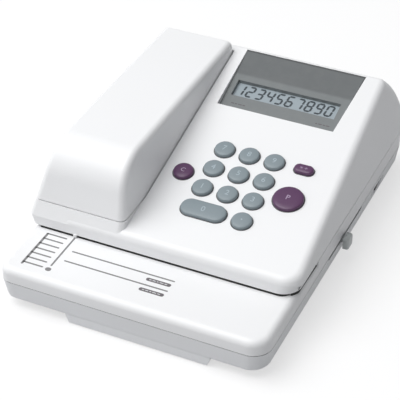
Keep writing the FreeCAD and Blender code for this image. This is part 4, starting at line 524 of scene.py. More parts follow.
class Palette:
    """Every finish of the machine, made into a material when it is first asked for."""

    def __init__(self, window_border: float, window_slope: float) -> None:
        """List the finishes.

        Args:
            window_border: Distance up the window at which its darker zone starts, in metres.
            window_slope: Slope of the window plate, in radians.
        """
        self.groups = ShaderGroups()
        listed: list[Finish] = [
            MouldedPlastic("case_white", (0.83, 0.835, 0.85), 0.42, tint=(0.78, 0.77, 0.74), drift=0.1),
            MouldedPlastic("case_base", (0.78, 0.79, 0.81), 0.46, tint=(0.72, 0.72, 0.7), drift=0.12),
            MouldedPlastic("lever_grey", (0.60, 0.63, 0.63), 0.42, tint=(0.42, 0.44, 0.42), drift=0.2),
            MouldedPlastic("key_grey", (0.225, 0.27, 0.295), 0.42, tint=(0.19, 0.235, 0.255), drift=0.25,
                           grain=1500.0, depth=0.08),
            MouldedPlastic("key_purple", (0.098, 0.036, 0.101), 0.36, tint=(0.075, 0.035, 0.085), drift=0.3,
                           grain=1500.0, depth=0.08),
            MouldedPlastic("legend_pale", (0.37, 0.44, 0.49), 0.5, tint=(0.31, 0.37, 0.42), drift=0.2),
            MouldedPlastic("legend_on_purple", (0.42, 0.33, 0.46), 0.5, tint=(0.34, 0.26, 0.38), drift=0.2),
            MouldedPlastic("word_pale", (0.62, 0.63, 0.64), 0.5, tint=(0.5, 0.5, 0.5), drift=0.3),
            MouldedPlastic("ink_grey", (0.20, 0.20, 0.205), 0.6, tint=(0.28, 0.28, 0.28), drift=0.4,
                           grain=2500.0),
            MouldedPlastic("ink_dark", (0.12, 0.11, 0.12), 0.6, tint=(0.2, 0.19, 0.2), drift=0.35,
                           grain=2500.0),
            MouldedPlastic("digit_ink", (0.035, 0.045, 0.055), 0.4, tint=(0.07, 0.085, 0.095), drift=0.4),
            # The next three finishes are painted shade: near-black colours for the strips laid round the keys, in the
            # seams, the slot's mouth and the side groove, and along the window's edge, where shade falls.
            MouldedPlastic("painted_shade_grey", (0.09, 0.095, 0.10), 0.6, tint=(0.14, 0.145, 0.15), drift=0.4),
            MouldedPlastic("painted_shade_black", (0.03, 0.03, 0.032), 0.7, tint=(0.06, 0.06, 0.055), drift=0.5,
                           dust=0.12),
            MouldedPlastic("painted_shade_edge", (0.07, 0.073, 0.075), 0.5, tint=(0.11, 0.115, 0.12), drift=0.4),
            MouldedPlastic("cell_band", (0.42, 0.20, 0.07), 0.3, tint=(0.3, 0.14, 0.05), drift=0.3),
            MouldedPlastic("label_silver", (0.50, 0.51, 0.52), 0.35, tint=(0.42, 0.43, 0.44), drift=0.4),
            MouldedPlastic("black_plastic", (0.025, 0.025, 0.028), 0.42, tint=(0.05, 0.05, 0.05), drift=0.5,
                           dust=0.08),
            MouldedPlastic("dark_plastic", (0.11, 0.11, 0.12), 0.45, tint=(0.16, 0.16, 0.15), drift=0.3,
                           dust=0.1),
            MouldedPlastic("silicone", (0.30, 0.32, 0.34), 0.65, tint=(0.36, 0.37, 0.38), drift=0.4,
                           dust=0.15),
            MouldedPlastic("nylon", (0.74, 0.70, 0.60), 0.4, tint=(0.62, 0.55, 0.42), drift=0.3, grain=700.0),
            MouldedPlastic("cable_grey", (0.45, 0.46, 0.48), 0.5, tint=(0.38, 0.39, 0.4), drift=0.3),
            MouldedPlastic("rubber_black", (0.035, 0.035, 0.038), 0.75, tint=(0.09, 0.085, 0.08), drift=0.5,
                           grain=1600.0, depth=0.35, dust=0.2),
            MouldedPlastic("ink_felt", (0.06, 0.03, 0.12), 0.95, tint=(0.02, 0.01, 0.05), drift=0.8,
                           grain=2200.0, depth=0.9),
            MouldedPlastic("cell_sleeve", (0.10, 0.11, 0.125), 0.3, tint=(0.16, 0.16, 0.17), drift=0.3),
            Metal("sheet_steel", (0.56, 0.57, 0.58), 0.34),
            Metal("turned_steel", (0.62, 0.63, 0.64), 0.22, lines=0.08),
            Metal("screw_steel", (0.42, 0.42, 0.43), 0.35, film=(0.2, 0.19, 0.16)),
            Metal("brass", (0.72, 0.55, 0.26), 0.28, film=(0.4, 0.26, 0.1)),
            Metal("motor_can", (0.40, 0.41, 0.42), 0.38, film=(0.22, 0.22, 0.2)),
            WindowTint("window_smoke", (0.185, 0.20, 0.205), 0.28, border=window_border, slope=window_slope),
            DisplayFilm("display_film", (0.32, 0.37, 0.405), 0.3),
            BoardLacquer("board_lacquer", (0.02, 0.16, 0.07), 0.35),
        ]
        self._finishes = {finish.name: finish for finish in listed}
        self._made: dict[str, bpy.types.Material] = {}

    def __getitem__(self, name: str) -> bpy.types.Material:
        """Find a material, and make it the first time.

        Args:
            name: Name of its finish.

        Returns:
            The material.
        """
        if name not in self._made:
            self._made[name] = self._finishes[name].build(self.groups)
        return self._made[name]


# ------------------------------------------------------------------ mesh helpers
def spot(x: float, y: float, z: float) -> Vector:
    """Point of the machine in metres, from millimetres right of its middle, behind its front and up."""
    return Vector((MIDDLE + x, FRONT + y, z)) * MM


def loops_of(shape: dict) -> list[bmesh.types.BMVert]:
    """The vertices in a bmesh operator's result."""
    return [item for item in shape["geom"] if isinstance(item, bmesh.types.BMVert)]


def added(bm: bmesh.types.BMesh, known: set[bmesh.types.BMVert]) -> list[bmesh.types.BMVert]:
    """The vertices that a mesh has beside the known ones."""
    return [corner for corner in bm.verts if corner not in known]


def outward(bm: bmesh.types.BMesh) -> None:
    """Turn every face outwards."""
    bmesh.ops.recalc_face_normals(bm, faces=bm.faces[:])


def facing_up(face: bmesh.types.BMFace) -> bmesh.types.BMFace:
    """Turn one flat face so that it faces up.

    Args:
        face: The face.

    Returns:
        The same face.
    """
    face.normal_update()
    if face.normal.z < 0:
        face.normal_flip()
    return face


def thickened(bm: bmesh.types.BMesh, faces: Sequence[bmesh.types.BMFace], step: Sequence[float]) -> None:
    """Give open faces a thickness, by a step in metres."""
    grown = bmesh.ops.extrude_face_region(bm, geom=faces)
    bmesh.ops.translate(bm, verts=loops_of(grown), vec=step)


def raised(bm: bmesh.types.BMesh, face: bmesh.types.BMFace, lift: float) -> bmesh.types.BMFace:
    """Extrude one flat face along its normal.

    Args:
        bm: The mesh.
        face: The face. It stays as the bottom of a free sheet, and goes where it would lie inside.
        lift: Height of the step, in metres.

    Returns:
        The new top face.
    """
    face.normal_update()
    way = face.normal.copy()
    enclosed = all(len(edge.link_faces) > 1 for edge in face.edges)
    grown = bmesh.ops.extrude_face_region(bm, geom=[face])
    bmesh.ops.translate(bm, verts=loops_of(grown), vec=way * lift)
    top = next(item for item in grown["geom"] if isinstance(item, bmesh.types.BMFace))
    if enclosed and face.is_valid:
        bmesh.ops.delete(bm, geom=[face], context="FACES_ONLY")
    top.normal_update()
    return top


def stepped_in(bm: bmesh.types.BMesh, face: bmesh.types.BMFace,
               steps: Iterable[tuple[float, float]]) -> bmesh.types.BMFace:
    """Inset a face several times.

    Args:
        bm: The mesh.
        face: The face.
        steps: Width and rise of each step, in metres.

    Returns:
        The same face, which is now the innermost one.
    """
    for width, rise in steps:
        bmesh.ops.inset_individual(bm, faces=[face], thickness=width, depth=rise, use_even_offset=True)
        face.normal_update()
    return face


def stadium(bm: bmesh.types.BMesh, width: float, depth: float, height: float,
            segments: int = 48) -> bmesh.types.BMFace:
    """Flat round or lozenge-shaped face, facing up.

    Args:
        bm: The mesh to add it to.
        width: Size across, in metres.
        depth: Size along, in metres, which is also the diameter of its round ends.
        height: Height of the face.
        segments: Number of corners.

    Returns:
        The face.
    """
    turn = Matrix.Rotation(math.pi / segments, 4, "Z")
    made = bmesh.ops.create_circle(bm, cap_ends=True, segments=segments, radius=depth / 2,
                                   matrix=Matrix.Translation((0, 0, height)) @ turn)
    for corner in made["verts"]:
        corner.co.x += math.copysign((width - depth) / 2, corner.co.x)
    return facing_up(made["verts"][0].link_faces[0])


def plate(bm: bmesh.types.BMesh, size: Sequence[float], centre: Sequence[float],
          soften: float) -> list[bmesh.types.BMVert]:
    """Add a plate with softened edges.

    Args:
        bm: The mesh to add it to.
        size: Its sizes along X, Y and Z, in metres.
        centre: Its centre.
        soften: Width of the bevel on all edges.

    Returns:
        Its vertices.
    """
    known = set(bm.verts)
    matrix = Matrix.Translation(centre) @ Matrix.Diagonal((*size, 1))
    made = bmesh.ops.create_cube(bm, size=1.0, matrix=matrix)
    edges = list({edge for corner in made["verts"] for edge in corner.link_edges})
    bmesh.ops.bevel(bm, geom=edges, offset=soften, offset_type="OFFSET", affect="EDGES", segments=2,
                    profile=0.5, material=-1, clamp_overlap=True)
    return added(bm, known)


def ring(bm: bmesh.types.BMesh, inner: float, outer: float, length: float,
         steps: int = 64) -> list[bmesh.types.BMVert]:
    """Add a round ring about the Z axis, centred on the origin.

    Args:
        bm: The mesh to add it to.
        inner: Inner radius, in metres.
        outer: Outer radius.
        length: Size along Z.
        steps: Number of steps round it.

    Returns:
        Its vertices.
    """
    known = set(bm.verts)
    profile = [bm.verts.new((reach, 0.0, level)) for reach, level in
               ((inner, -length / 2), (outer, -length / 2), (outer, length / 2), (inner, length / 2))]
    edges = [bm.edges.new((profile[k], profile[(k + 1) % 4])) for k in range(4)]
    bmesh.ops.spin(bm, geom=profile + edges, cent=(0, 0, 0), axis=(0, 0, 1), angle=math.tau, steps=steps,
                   use_merge=True)
    return added(bm, known)


def rounded_sheet(bm: bmesh.types.BMesh, low: Sequence[float], high: Sequence[float],
                  radii: Sequence[float], level: float) -> bmesh.types.BMFace:
    """Flat rectangle facing up, with its own radius at each corner, in millimetres.

    Args:
        bm: The mesh to add it to.
        low: Least X and Y.
        high: Greatest X and Y.
        radii: Radius at the front left, front right, rear right and rear left corner.
        level: Height.

    Returns:
        The face.
    """
    known = set(bm.faces)
    places = ((low[0], low[1]), (high[0], low[1]), (high[0], high[1]), (low[0], high[1]))
    corners = [bm.verts.new((x * MM, y * MM, level * MM)) for x, y in places]
    bm.faces.new(corners)
    for corner, radius in zip(corners, radii):
        bmesh.ops.bevel(bm, geom=[corner], offset=radius * MM, offset_type="OFFSET", affect="VERTICES",
                        segments=12, profile=0.5, material=-1)
    return facing_up(next(item for item in bm.faces if item not in known))


def lettering(text: str, size: float, half: float) -> bpy.types.Mesh:
    """Centred text as a mesh, lying flat about the origin.

    Args:
        text: The characters.
        size: Letter height as the font gives it, in millimetres.
        half: Half the thickness.

    Returns:
        The mesh, which the caller removes.
    """
    curve = bpy.data.curves.new("legend", "FONT")
    curve.body, curve.size, curve.extrude = text, size * MM, half * MM
    curve.align_x, curve.align_y = "CENTER", "CENTER"
    curve.resolution_u = 4
    holder = bpy.data.objects.new("legend", curve)
    bpy.context.scene.collection.objects.link(holder)
    bpy.context.view_layer.update()
    mesh = bpy.data.meshes.new_from_object(holder.evaluated_get(bpy.context.evaluated_depsgraph_get()))
    bpy.data.objects.remove(holder)
    bpy.data.curves.remove(curve)
    low = [min(v.co[axis] for v in mesh.vertices) for axis in (0, 1)]
    high = [max(v.co[axis] for v in mesh.vertices) for axis in (0, 1)]
    mesh.transform(Matrix.Translation((-(low[0] + high[0]) / 2, -(low[1] + high[1]) / 2, 0)))
    return mesh


def join_mesh(bm: bmesh.types.BMesh, mesh: bpy.types.Mesh, matrix: Matrix, material: int = 0) -> None:
    """Add a mesh to a bmesh.

    Args:
        bm: The mesh to add it to.
        mesh: The mesh, which is removed.
        matrix: Its place.
        material: Its material number.
    """
    known = set(bm.faces)
    mesh.transform(matrix)
    bm.from_mesh(mesh)
    bpy.data.meshes.remove(mesh)
    for face in bm.faces:
        if face not in known:
            face.material_index = material


def finished(bm: bmesh.types.BMesh, name: str, materials: Sequence[bpy.types.Material], body: str) -> bpy.types.Object:
    """Turn a bmesh into a piece that rides on a body.

    Args:
        bm: The mesh, in the frame's own place. It is freed.
        name: Name of the piece.
        materials: Its materials, in the order of the faces' numbers.
        body: The body that it rides on.

    Returns:
        The piece.
    """
    mesh = bpy.data.meshes.new(name)
    bm.to_mesh(mesh)
    bm.free()
    for polygon in mesh.polygons:
        polygon.use_smooth = True
    mesh.set_sharp_from_angle(angle=SHARP_FROM)
    for material in materials:
        mesh.materials.append(material)
    piece = bpy.data.objects.new(name, mesh)
    bpy.context.scene.collection.objects.link(piece)
    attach(piece, body)
    LOG.info("%s: %d faces on %s", name, len(mesh.polygons), body)
    return piece


# ------------------------------------------------------------------ places on the machine
@dataclass(frozen=True)
class PanelPlan:
    """The sloping key panel, in millimetres from its front edge line."""

    slope: float = math.atan(41.36 / 194.6)
    front: float = 54.6
    height: float = 49.2
    window_start: float = 135.75
    window_sink: float = 4.3
    window_rise: float = 4.1 / 61.9

    def at(self, across: float, up: float, above: float = 0.0) -> Matrix:
        """Lay something that is drawn flat, in metres, on the panel.

        Args:
            across: Distance right of the machine's middle.
            up: Distance up the slope.
            above: Height above the panel.

        Returns:
            The matrix that places it.
        """
        ahead, rise = math.cos(self.slope), math.sin(self.slope)
        place = spot(across, self.front + up * ahead - above * rise, self.height + up * rise + above * ahead)
        return Matrix.Translation(place) @ Matrix.Rotation(self.slope, 4, "X")

    def on_window(self, across: float, up: float, above: float = 0.0) -> Matrix:
        """The same, on the window plate, which lies deeper towards its front."""
        level = -self.window_sink + (up - self.window_start) * self.window_rise + above
        return self.at(across, up, level) @ Matrix.Rotation(math.atan(self.window_rise), 4, "X")

    def window_slope(self) -> float:
        """Slope of the window plate, in radians."""
        return self.slope + math.atan(self.window_rise)

    def window_reach(self, up: float) -> float:
        """Find how far along the window plate's slope a line across it lies.

        Args:
            up: Distance of the line up the panel.

        Returns:
            The distance along the slope from the frame's origin, in metres.
        """
        place = self.on_window(0.0, up).translation
        return (Matrix.Rotation(-self.window_slope(), 3, "X") @ place).y


# ------------------------------------------------------------------ sub-assemblies
@dataclass
class Keycap:
    """One key: a domed cap with a flange under the panel and a printed legend."""

    node: str
    across: float
    up: float
    width: float
    depth: float
    legend: str
    face: Face
    legend_size: float = 6.4
    legend_half: float = 0.02
    proud: float = 3.0
    shoulder: float = 1.55
    under: float = -2.7
    flange: float = 1.5
    flange_thick: float = 1.0
    crown_reach: float = 7.5
    crown: Sequence[tuple[float, float]] = (
        (0.06, 0.30), (0.16, 0.26), (0.30, 0.20), (0.50, 0.15), (0.80, 0.12), (1.10, 0.10), (1.40, 0.08))

    def build(self, panel: PanelPlan, palette: Palette) -> bpy.types.Object:
        """Build the key and hide the node that it stands for.

        Args:
            panel: The panel that it stands on.
            palette: The materials.

        Returns:
            The piece.
        """
        bm = bmesh.new()
        sole = stadium(bm, (self.width + 2 * self.flange) * MM, (self.depth + 2 * self.flange) * MM,
                       (self.under - self.flange_thick) * MM)
        shelf = raised(bm, sole, self.flange_thick * MM)
        foot = stepped_in(bm, shelf, [(self.flange * MM, 0.0)])
        top = raised(bm, foot, (self.shoulder - self.under) * MM)
        share = (self.proud - self.shoulder) / sum(rise for _, rise in self.crown)
        reach = min(1.0, self.depth / 2 / self.crown_reach)
        stepped_in(bm, top, [(width * reach * MM, rise * share * MM) for width, rise in self.crown])
        outward(bm)
        join_mesh(bm, lettering(self.legend, self.legend_size, self.legend_half),
                  Matrix.Translation((0, 0, self.proud * MM)), 1)
        bmesh.ops.transform(bm, matrix=panel.at(self.across, self.up), verts=bm.verts[:])
        digit = self.face is Face.DIGIT
        materials = [palette["key_grey" if digit else "key_purple"],
                     palette["legend_pale" if digit else "legend_on_purple"]]
        piece = finished(bm, self.node + "_cap", materials, self.node)
        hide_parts(self.node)
        return piece


@dataclass
class Keypad:
    """All keys on the panel."""

    first: tuple[float, float] = (5.1, 33.9)
    pitch: tuple[float, float] = (19.15, 19.65)
    round_key: float = 14.5
    large_key: float = 21.8
    small_depth: float = 8.0
    far: float = 65.7
    letter_size: float = 5.0
    large_letter_size: float = 6.0
    point_size: float = 10.0

    def caps(self) -> list[Keycap]:
        """List every key with its place, size and legend.

        Returns:
            The keys, not yet built.
        """
        x0, s0 = self.first
        dx, ds = self.pitch
        size, large, letter = self.round_key, self.large_key, self.letter_size
        middle = s0 + 3 * ds / 2
        caps = [Keycap(f"key_{3 * row + column + 1}", x0 + column * dx, s0 + (row + 1) * ds, size, size,
                       str(3 * row + column + 1), Face.DIGIT) for row in range(3) for column in range(3)]
        caps += [
            Keycap("key_0", x0 + dx / 2, s0, dx + size, size, "0", Face.DIGIT),
            Keycap("key_decimal", x0 + 2 * dx, s0, size, size, "·", Face.DIGIT, self.point_size),
            Keycap("key_clear", x0 - dx, middle, size, size, "C", Face.FUNCTION, letter),
            Keycap("key_print", self.far, middle, large, large, "P", Face.FUNCTION, self.large_letter_size),
            Keycap("key_symbol", self.far, s0 + 3 * ds, size, self.small_depth, "* *", Face.FUNCTION, letter),
        ]
        return caps

    def build(self, panel: PanelPlan, palette: Palette) -> None:
        """Build every key."""
        for cap in self.caps():
            cap.build(panel, palette)


@dataclass
class Display:
    """Digits of the display and the marks on its window."""

    text: str = "1234567890"
    first: float = -11.4
    pitch: float = 7.82
    middle: float = 160.0
    sink: float = 2.97
    digit_height: float = 9.7
    digit_width: float = 4.6
    stroke: float = 1.55
    bar_gap: float = 0.15
    slant: float = 0.12
    thickness: float = 0.05
    upper_zone: float = 172.5
    mark_line: float = 143.4
    marks: Sequence[tuple[float, Sequence[float]]] = (
        (-7.0, (2.4, 1.7, 3.0, 2.0)), (59.5, (1.5, 2.8, 1.9, 2.6)))
    mark_gap: float = 0.7
    mark_width: float = 0.9
    mark_thick: float = 0.06
    mark_soften: float = 0.02
    mark_lift: float = 0.03

    BARS: ClassVar[dict[str, str]] = {
        "0": "abcdef", "1": "bc", "2": "abged", "3": "abgcd", "4": "fgbc",
        "5": "afgcd", "6": "afgedc", "7": "abc", "8": "abcdefg", "9": "abcdfg",
    }
    LYING: ClassVar[str] = "agd"
    # A hexagon's corners farther out than this share of the stroke are its two tips.
    TIP_FROM: ClassVar[float] = 0.4

    def bar(self, bm: bmesh.types.BMesh, letter: str, slant: Matrix) -> None:
        """Add one bar of a digit, pointed at both ends, about the digit's middle.

        Args:
            bm: The mesh to add it to.
            letter: Which of the seven bars, from a at the top, clockwise, to g in the middle.
            slant: Shear of the digit.
        """
        half_w, half_h = self.digit_width / 2, self.digit_height / 2
        centres = {"a": (0.0, half_h), "b": (half_w, half_h / 2), "c": (half_w, -half_h / 2),
                   "d": (0.0, -half_h), "e": (-half_w, -half_h / 2), "f": (-half_w, half_h / 2),
                   "g": (0.0, 0.0)}
        lying = letter in self.LYING
        length = (self.digit_width if lying else half_h) - self.bar_gap
        made = bmesh.ops.create_circle(bm, cap_ends=True, segments=6, radius=self.stroke / 2 * MM,
                                       matrix=Matrix.Rotation(math.pi / 2, 4, "Z"))
        for corner in made["verts"]:
            tip = abs(corner.co.x) > self.stroke * self.TIP_FROM * MM
            reach = length / 2 if tip else (length - self.stroke) / 2
            corner.co.x = math.copysign(reach * MM, corner.co.x)
            corner.co.y = 0.0 if tip else math.copysign(self.stroke / 2 * MM, corner.co.y)
        turn = Matrix.Identity(4) if lying else Matrix.Rotation(math.pi / 2, 4, "Z")
        place = Matrix.Translation((centres[letter][0] * MM, centres[letter][1] * MM, 0)) @ turn
        bmesh.ops.transform(bm, matrix=slant @ place, verts=made["verts"])

    def digits(self, panel: PanelPlan, palette: Palette) -> bpy.types.Object:
        """Build the row of digits on the display's glass.

        Args:
            panel: The panel that the window lies in.
            palette: The materials.

        Returns:
            The piece.
        """
        bm = bmesh.new()
        shear = Matrix.Identity(4)
        shear[0][1] = self.slant
        for number, figure in enumerate(self.text):
            known = set(bm.verts)
            for letter in self.BARS[figure]:
                self.bar(bm, letter, shear)
            place = panel.on_window(self.first + self.pitch * number, self.middle, -self.sink)
            bmesh.ops.transform(bm, matrix=place, verts=added(bm, known))
        up = panel.on_window(0.0, self.middle).to_3x3() @ Vector((0, 0, self.thickness * MM))
        thickened(bm, bm.faces[:], up)
        outward(bm)
        return finished(bm, "display_digits", [palette["digit_ink"]], Body.MACHINE.value)

    def window_marks(self, panel: PanelPlan, palette: Palette) -> bpy.types.Object:
        """Build the two short printed marks below the display.

        Args:
            panel: The panel that the window lies in.
            palette: The materials.

        Returns:
            The piece.
        """
        bm = bmesh.new()
        for across, lengths in self.marks:
            start = across - sum(lengths) / 2 - self.mark_gap
            for length in lengths:
                made = plate(bm, (length * MM, self.mark_width * MM, self.mark_thick * MM), (0, 0, 0),
                             self.mark_soften * MM)
                place = panel.on_window(start + length / 2, self.mark_line, self.mark_lift)
                bmesh.ops.transform(bm, matrix=place, verts=made)
                start += length + self.mark_gap
        return finished(bm, "window_marks", [palette["ink_dark"]], Body.MACHINE.value)

    def build(self, panel: PanelPlan, palette: Palette) -> None:
        """Build the digits and the marks."""
        self.digits(panel, palette)
        self.window_marks(panel, palette)


@dataclass
class TrayPrinting:
    """Grey printing on the paper table: a scale, a pointer line, two entry lines and their tags."""

    level: float = 34.0
    thickness: float = 0.05
    lift: float = 0.005
    scale_x: float = -85.8
    scale_y: tuple[float, float] = (10.2, 45.6)
    scale_width: float = 1.9
    ticks: int = 7
    tick_first: float = 12.1
    tick_pitch: float = 5.65
    tick_end: float = -71.2
    tick_width: float = 1.4
    pointer_x: float = -66.2
    pointer_y: tuple[float, float] = (16.0, 49.0)
    pointer_width: float = 1.4
    dot_y: float = 11.5
    dot_half: float = 0.3
    dot_width: float = 3.9
    entry_rows: tuple[float, float] = (35.3, 24.2)
    entry_x: tuple[float, float] = (-60.2, 17.1)
    entry_width: float = 1.3
    tag_below: float = 5.0
    tag_x: tuple[float, float] = (0.3, 15.5)
    tag_width: float = 3.3
    word_start: float = 1.0
    word_lengths: Sequence[float] = (1.7, 2.3, 1.4, 2.9, 2.0)
    word_gap: float = 0.75
    word_width: float = 0.85
    word_thick: float = 0.03
    word_soften: float = 0.01
    word_lift: float = 0.02

    def stroke(self, bm: bmesh.types.BMesh, start: Sequence[float], end: Sequence[float],
               width: float) -> None:
        """Add one printed line between two points of the table, in millimetres.

        Args:
            bm: The mesh to add it to.
            start: First point, right of the machine's middle and behind its front.
            end: Last point.
            width: Width of the line, which ends round.
        """
        reach = math.hypot(end[0] - start[0], end[1] - start[1])
        angle = math.atan2(end[1] - start[1], end[0] - start[0])
        known = set(bm.verts)
        raised(bm, stadium(bm, (reach + width) * MM, width * MM, 0.0, segments=12), self.thickness * MM)
        place = spot((start[0] + end[0]) / 2, (start[1] + end[1]) / 2, self.level + self.lift)
        bmesh.ops.transform(bm, matrix=Matrix.Translation(place) @ Matrix.Rotation(angle, 4, "Z"),
                            verts=added(bm, known))

    def lines(self, palette: Palette) -> bpy.types.Object:
        """Build the scale, the pointer line and the entry lines.

        Args:
            palette: The materials.

        Returns:
            The piece.
        """
        bm = bmesh.new()
        self.stroke(bm, (self.scale_x, self.scale_y[0]), (self.scale_x, self.scale_y[1]), self.scale_width)
        for number in range(self.ticks):
            y = self.tick_first + number * self.tick_pitch
            self.stroke(bm, (self.scale_x, y), (self.tick_end, y), self.tick_width)
        self.stroke(bm, (self.pointer_x, self.pointer_y[0]), (self.pointer_x, self.pointer_y[1]),
                    self.pointer_width)
        self.stroke(bm, (self.pointer_x - self.dot_half, self.dot_y),
                    (self.pointer_x + self.dot_half, self.dot_y), self.dot_width)
        for y in self.entry_rows:
            self.stroke(bm, (self.entry_x[0], y), (self.entry_x[1], y), self.entry_width)
        return finished(bm, "tray_scale", [palette["ink_grey"]], Body.MACHINE.value)

    def tags(self, palette: Palette) -> bpy.types.Object:
        """Build the dark tags below the ends of the entry lines.

        Args:
            palette: The materials.

        Returns:
            The piece.
        """
        bm = bmesh.new()
        for y in self.entry_rows:
            self.stroke(bm, (self.tag_x[0], y - self.tag_below), (self.tag_x[1], y - self.tag_below),
                        self.tag_width)
        return finished(bm, "tray_tags", [palette["ink_dark"]], Body.MACHINE.value)

    def words(self, palette: Palette) -> bpy.types.Object:
        """Build the short pale bars that stand for words on the tags.

        Args:
            palette: The materials.

        Returns:
            The piece.
        """
        bm = bmesh.new()
        level = self.level + self.thickness + self.word_lift
        for y in self.entry_rows:
            start = self.word_start
            for length in self.word_lengths:
                made = plate(bm, (length * MM, self.word_width * MM, self.word_thick * MM), (0, 0, 0),
                             self.word_soften * MM)
                place = spot(start + length / 2, y - self.tag_below, level)
                bmesh.ops.translate(bm, verts=made, vec=place)
                start += length + self.word_gap
        return finished(bm, "tray_words", [palette["word_pale"]], Body.MACHINE.value)

    def build(self, palette: Palette) -> None:
        """Build the printing.

        Args:
            palette: The materials.
        """
        self.lines(palette)
        self.tags(palette)
        self.words(palette)


@dataclass
class PaintedShadeStrips:
    """Painted shade: dark strips at the bottom of the seams, in the paper slot's mouth, in the side groove, round the
    keys and along the window's edge, laid where shade falls.
    """

    left: float = -99.6
    right: float = 98.0
    depth: float = 282.0
    corners: Sequence[float] = (9.0, 14.0, 14.0, 9.0)
    seam: tuple[float, float] = (22.06, 22.54)
    seam_in: float = 0.35
    seam_width: float = 1.5
    table: float = 34.0
    table_edge: float = 5.0
    mouth: tuple[float, float] = (50.5, 59.2)
    mouth_corners: Sequence[float] = (1.0, 7.5, 0.2, 0.2)
    lift: float = 0.01
    thickness: float = 0.05
    side_stations: Sequence[tuple[float, float]] = ((54.5, 14.0), (57.5, 32.0), (61.0, 48.0), (93.5, 56.0))
    side_steps: int = 8
    key_gap: float = 0.1
    shade_ring_width: float = 0.75
    groove: Sequence[tuple[float, float]] = ((56.4, 39.41), (171.1, 43.19))
    groove_half: float = 0.42
    groove_thickness: float = 0.5
    groove_lean: tuple[float, float, float] = (36.2, 96.75, 2.7 / 7.8)
    window_right: float = 70.8
    window_rear: tuple[float, float] = (-21.5, 73.8)
    window_ends: tuple[float, float] = (136.35, 197.5)
    window_edge_top: float = 1.15
    window_edge_side: float = 0.9
    window_edge_thickness: float = 0.06
    window_lift: float = 0.02

    def seam_ring(self, palette: Palette) -> bpy.types.Object:
        """Build the ring of painted shade inside the seam between the base and the paper table: a near-black sheet
        where the seam's shade falls.

        Args:
            palette: The materials.

        Returns:
            The piece.
        """
        bm = bmesh.new()
        inset = self.seam_in
        face = rounded_sheet(bm, (MIDDLE + self.left + inset, FRONT + inset),
                             (MIDDLE + self.right - inset, FRONT + self.depth - inset),
                             [radius - inset for radius in self.corners], self.seam[0])
        bmesh.ops.inset_individual(bm, faces=[face], thickness=self.seam_width * MM, use_even_offset=True)
        bmesh.ops.delete(bm, geom=[face], context="FACES_ONLY")
        thickened(bm, bm.faces[:], (0, 0, (self.seam[1] - self.seam[0]) * MM))
        outward(bm)
        return finished(bm, "seam_painted_shade", [palette["painted_shade_black"]], Body.MACHINE.value)

    def side_loop(self, bm: bmesh.types.BMesh, y: float, reach: float) -> list[bmesh.types.BMVert]:
        """Corners of one cross-section of the strip that bends round the table's right edge.

        Args:
            bm: The mesh to add them to.
            y: Distance behind the machine's front.
            reach: How far the strip bends round the edge, in degrees.

        Returns:
            The corners, once round the section.
        """
        hub = spot(self.right - self.table_edge, y, self.table - self.table_edge)
        turns = [math.radians(reach * step / self.side_steps) for step in range(self.side_steps + 1)]
        outer, inner = self.table_edge + self.lift + self.thickness, self.table_edge + self.lift
        sweep = [(turn, outer) for turn in turns] + [(turn, inner) for turn in reversed(turns)]
        return [bm.verts.new(hub + Vector((math.sin(turn), 0, math.cos(turn))) * radius * MM)
                for turn, radius in sweep]

    def slot_mouth(self, palette: Palette) -> bpy.types.Object:
        """Build the painted shade on the table below the housing's front edge, and along its right side: a near-black
        strip where the housing's overhang shades the table.

        Args:
            palette: The materials.

        Returns:
            The piece.
        """
        bm = bmesh.new()
        face = rounded_sheet(bm, (MIDDLE + self.left + self.table_edge, FRONT + self.mouth[0]),
                             (MIDDLE + self.right - self.table_edge, FRONT + self.mouth[1]),
                             self.mouth_corners, self.table + self.lift)
        raised(bm, face, self.thickness * MM)
        sections = [self.side_loop(bm, y, reach) for y, reach in self.side_stations]
        loops = [[bm.edges.new((corners[k - 1], corners[k])) for k in range(len(corners))]
                 for corners in sections]
        bm.faces.new(sections[0])
        bm.faces.new(sections[-1])
        for first, second in zip(loops, loops[1:]):
            bmesh.ops.bridge_loops(bm, edges=first + second)
        outward(bm)
        return finished(bm, "slot_mouth_strip", [palette["painted_shade_black"]], Body.MACHINE.value)

    def key_shade_rings(self, caps: Sequence[Keycap], panel: PanelPlan, palette: Palette) -> bpy.types.Object:
        """Build the painted shade round the keys: dark rings where the gap round each key is in shade.

        Args:
            caps: The keys.
            panel: The panel that they stand on.
            palette: The materials.

        Returns:
            The piece.
        """
        bm = bmesh.new()
        wide = self.key_gap + 2 * self.shade_ring_width
        for cap in caps:
            known = set(bm.verts)
            face = stadium(bm, (cap.width + wide) * MM, (cap.depth + wide) * MM, self.lift * MM)
            bmesh.ops.inset_individual(bm, faces=[face], thickness=self.shade_ring_width * MM, use_even_offset=True)
            rim = list({item for corner in face.verts for item in corner.link_faces if item is not face})
            bmesh.ops.delete(bm, geom=[face], context="FACES_ONLY")
            thickened(bm, rim, (0, 0, self.thickness * MM))
            bmesh.ops.transform(bm, matrix=panel.at(cap.across, cap.up), verts=added(bm, known))
        outward(bm)
        return finished(bm, "key_shade_rings", [palette["painted_shade_grey"]], Body.MACHINE.value)

    def groove_shade_strip(self, palette: Palette) -> bpy.types.Object:
        """Build the painted shade at the bottom of the groove along the housing's right side: a dark strip where the
        groove is in shade.

        Args:
            palette: The materials.

        Returns:
            The piece.
        """
        bm = bmesh.new()
        (y0, z0), (y1, z1) = self.groove
        low, across, lean = self.groove_lean
        half = self.groove_half
        corners = [bm.verts.new(spot(across + (z - low) * lean, y, z))
                   for y, z in ((y0, z0 - half), (y1, z1 - half), (y1, z1 + half), (y0, z0 + half))]
        thickened(bm, [bm.faces.new(corners)], (self.groove_thickness * MM, 0, 0))
        outward(bm)
        return finished(bm, "groove_shade_strip", [palette["painted_shade_grey"]], Body.MACHINE.value)

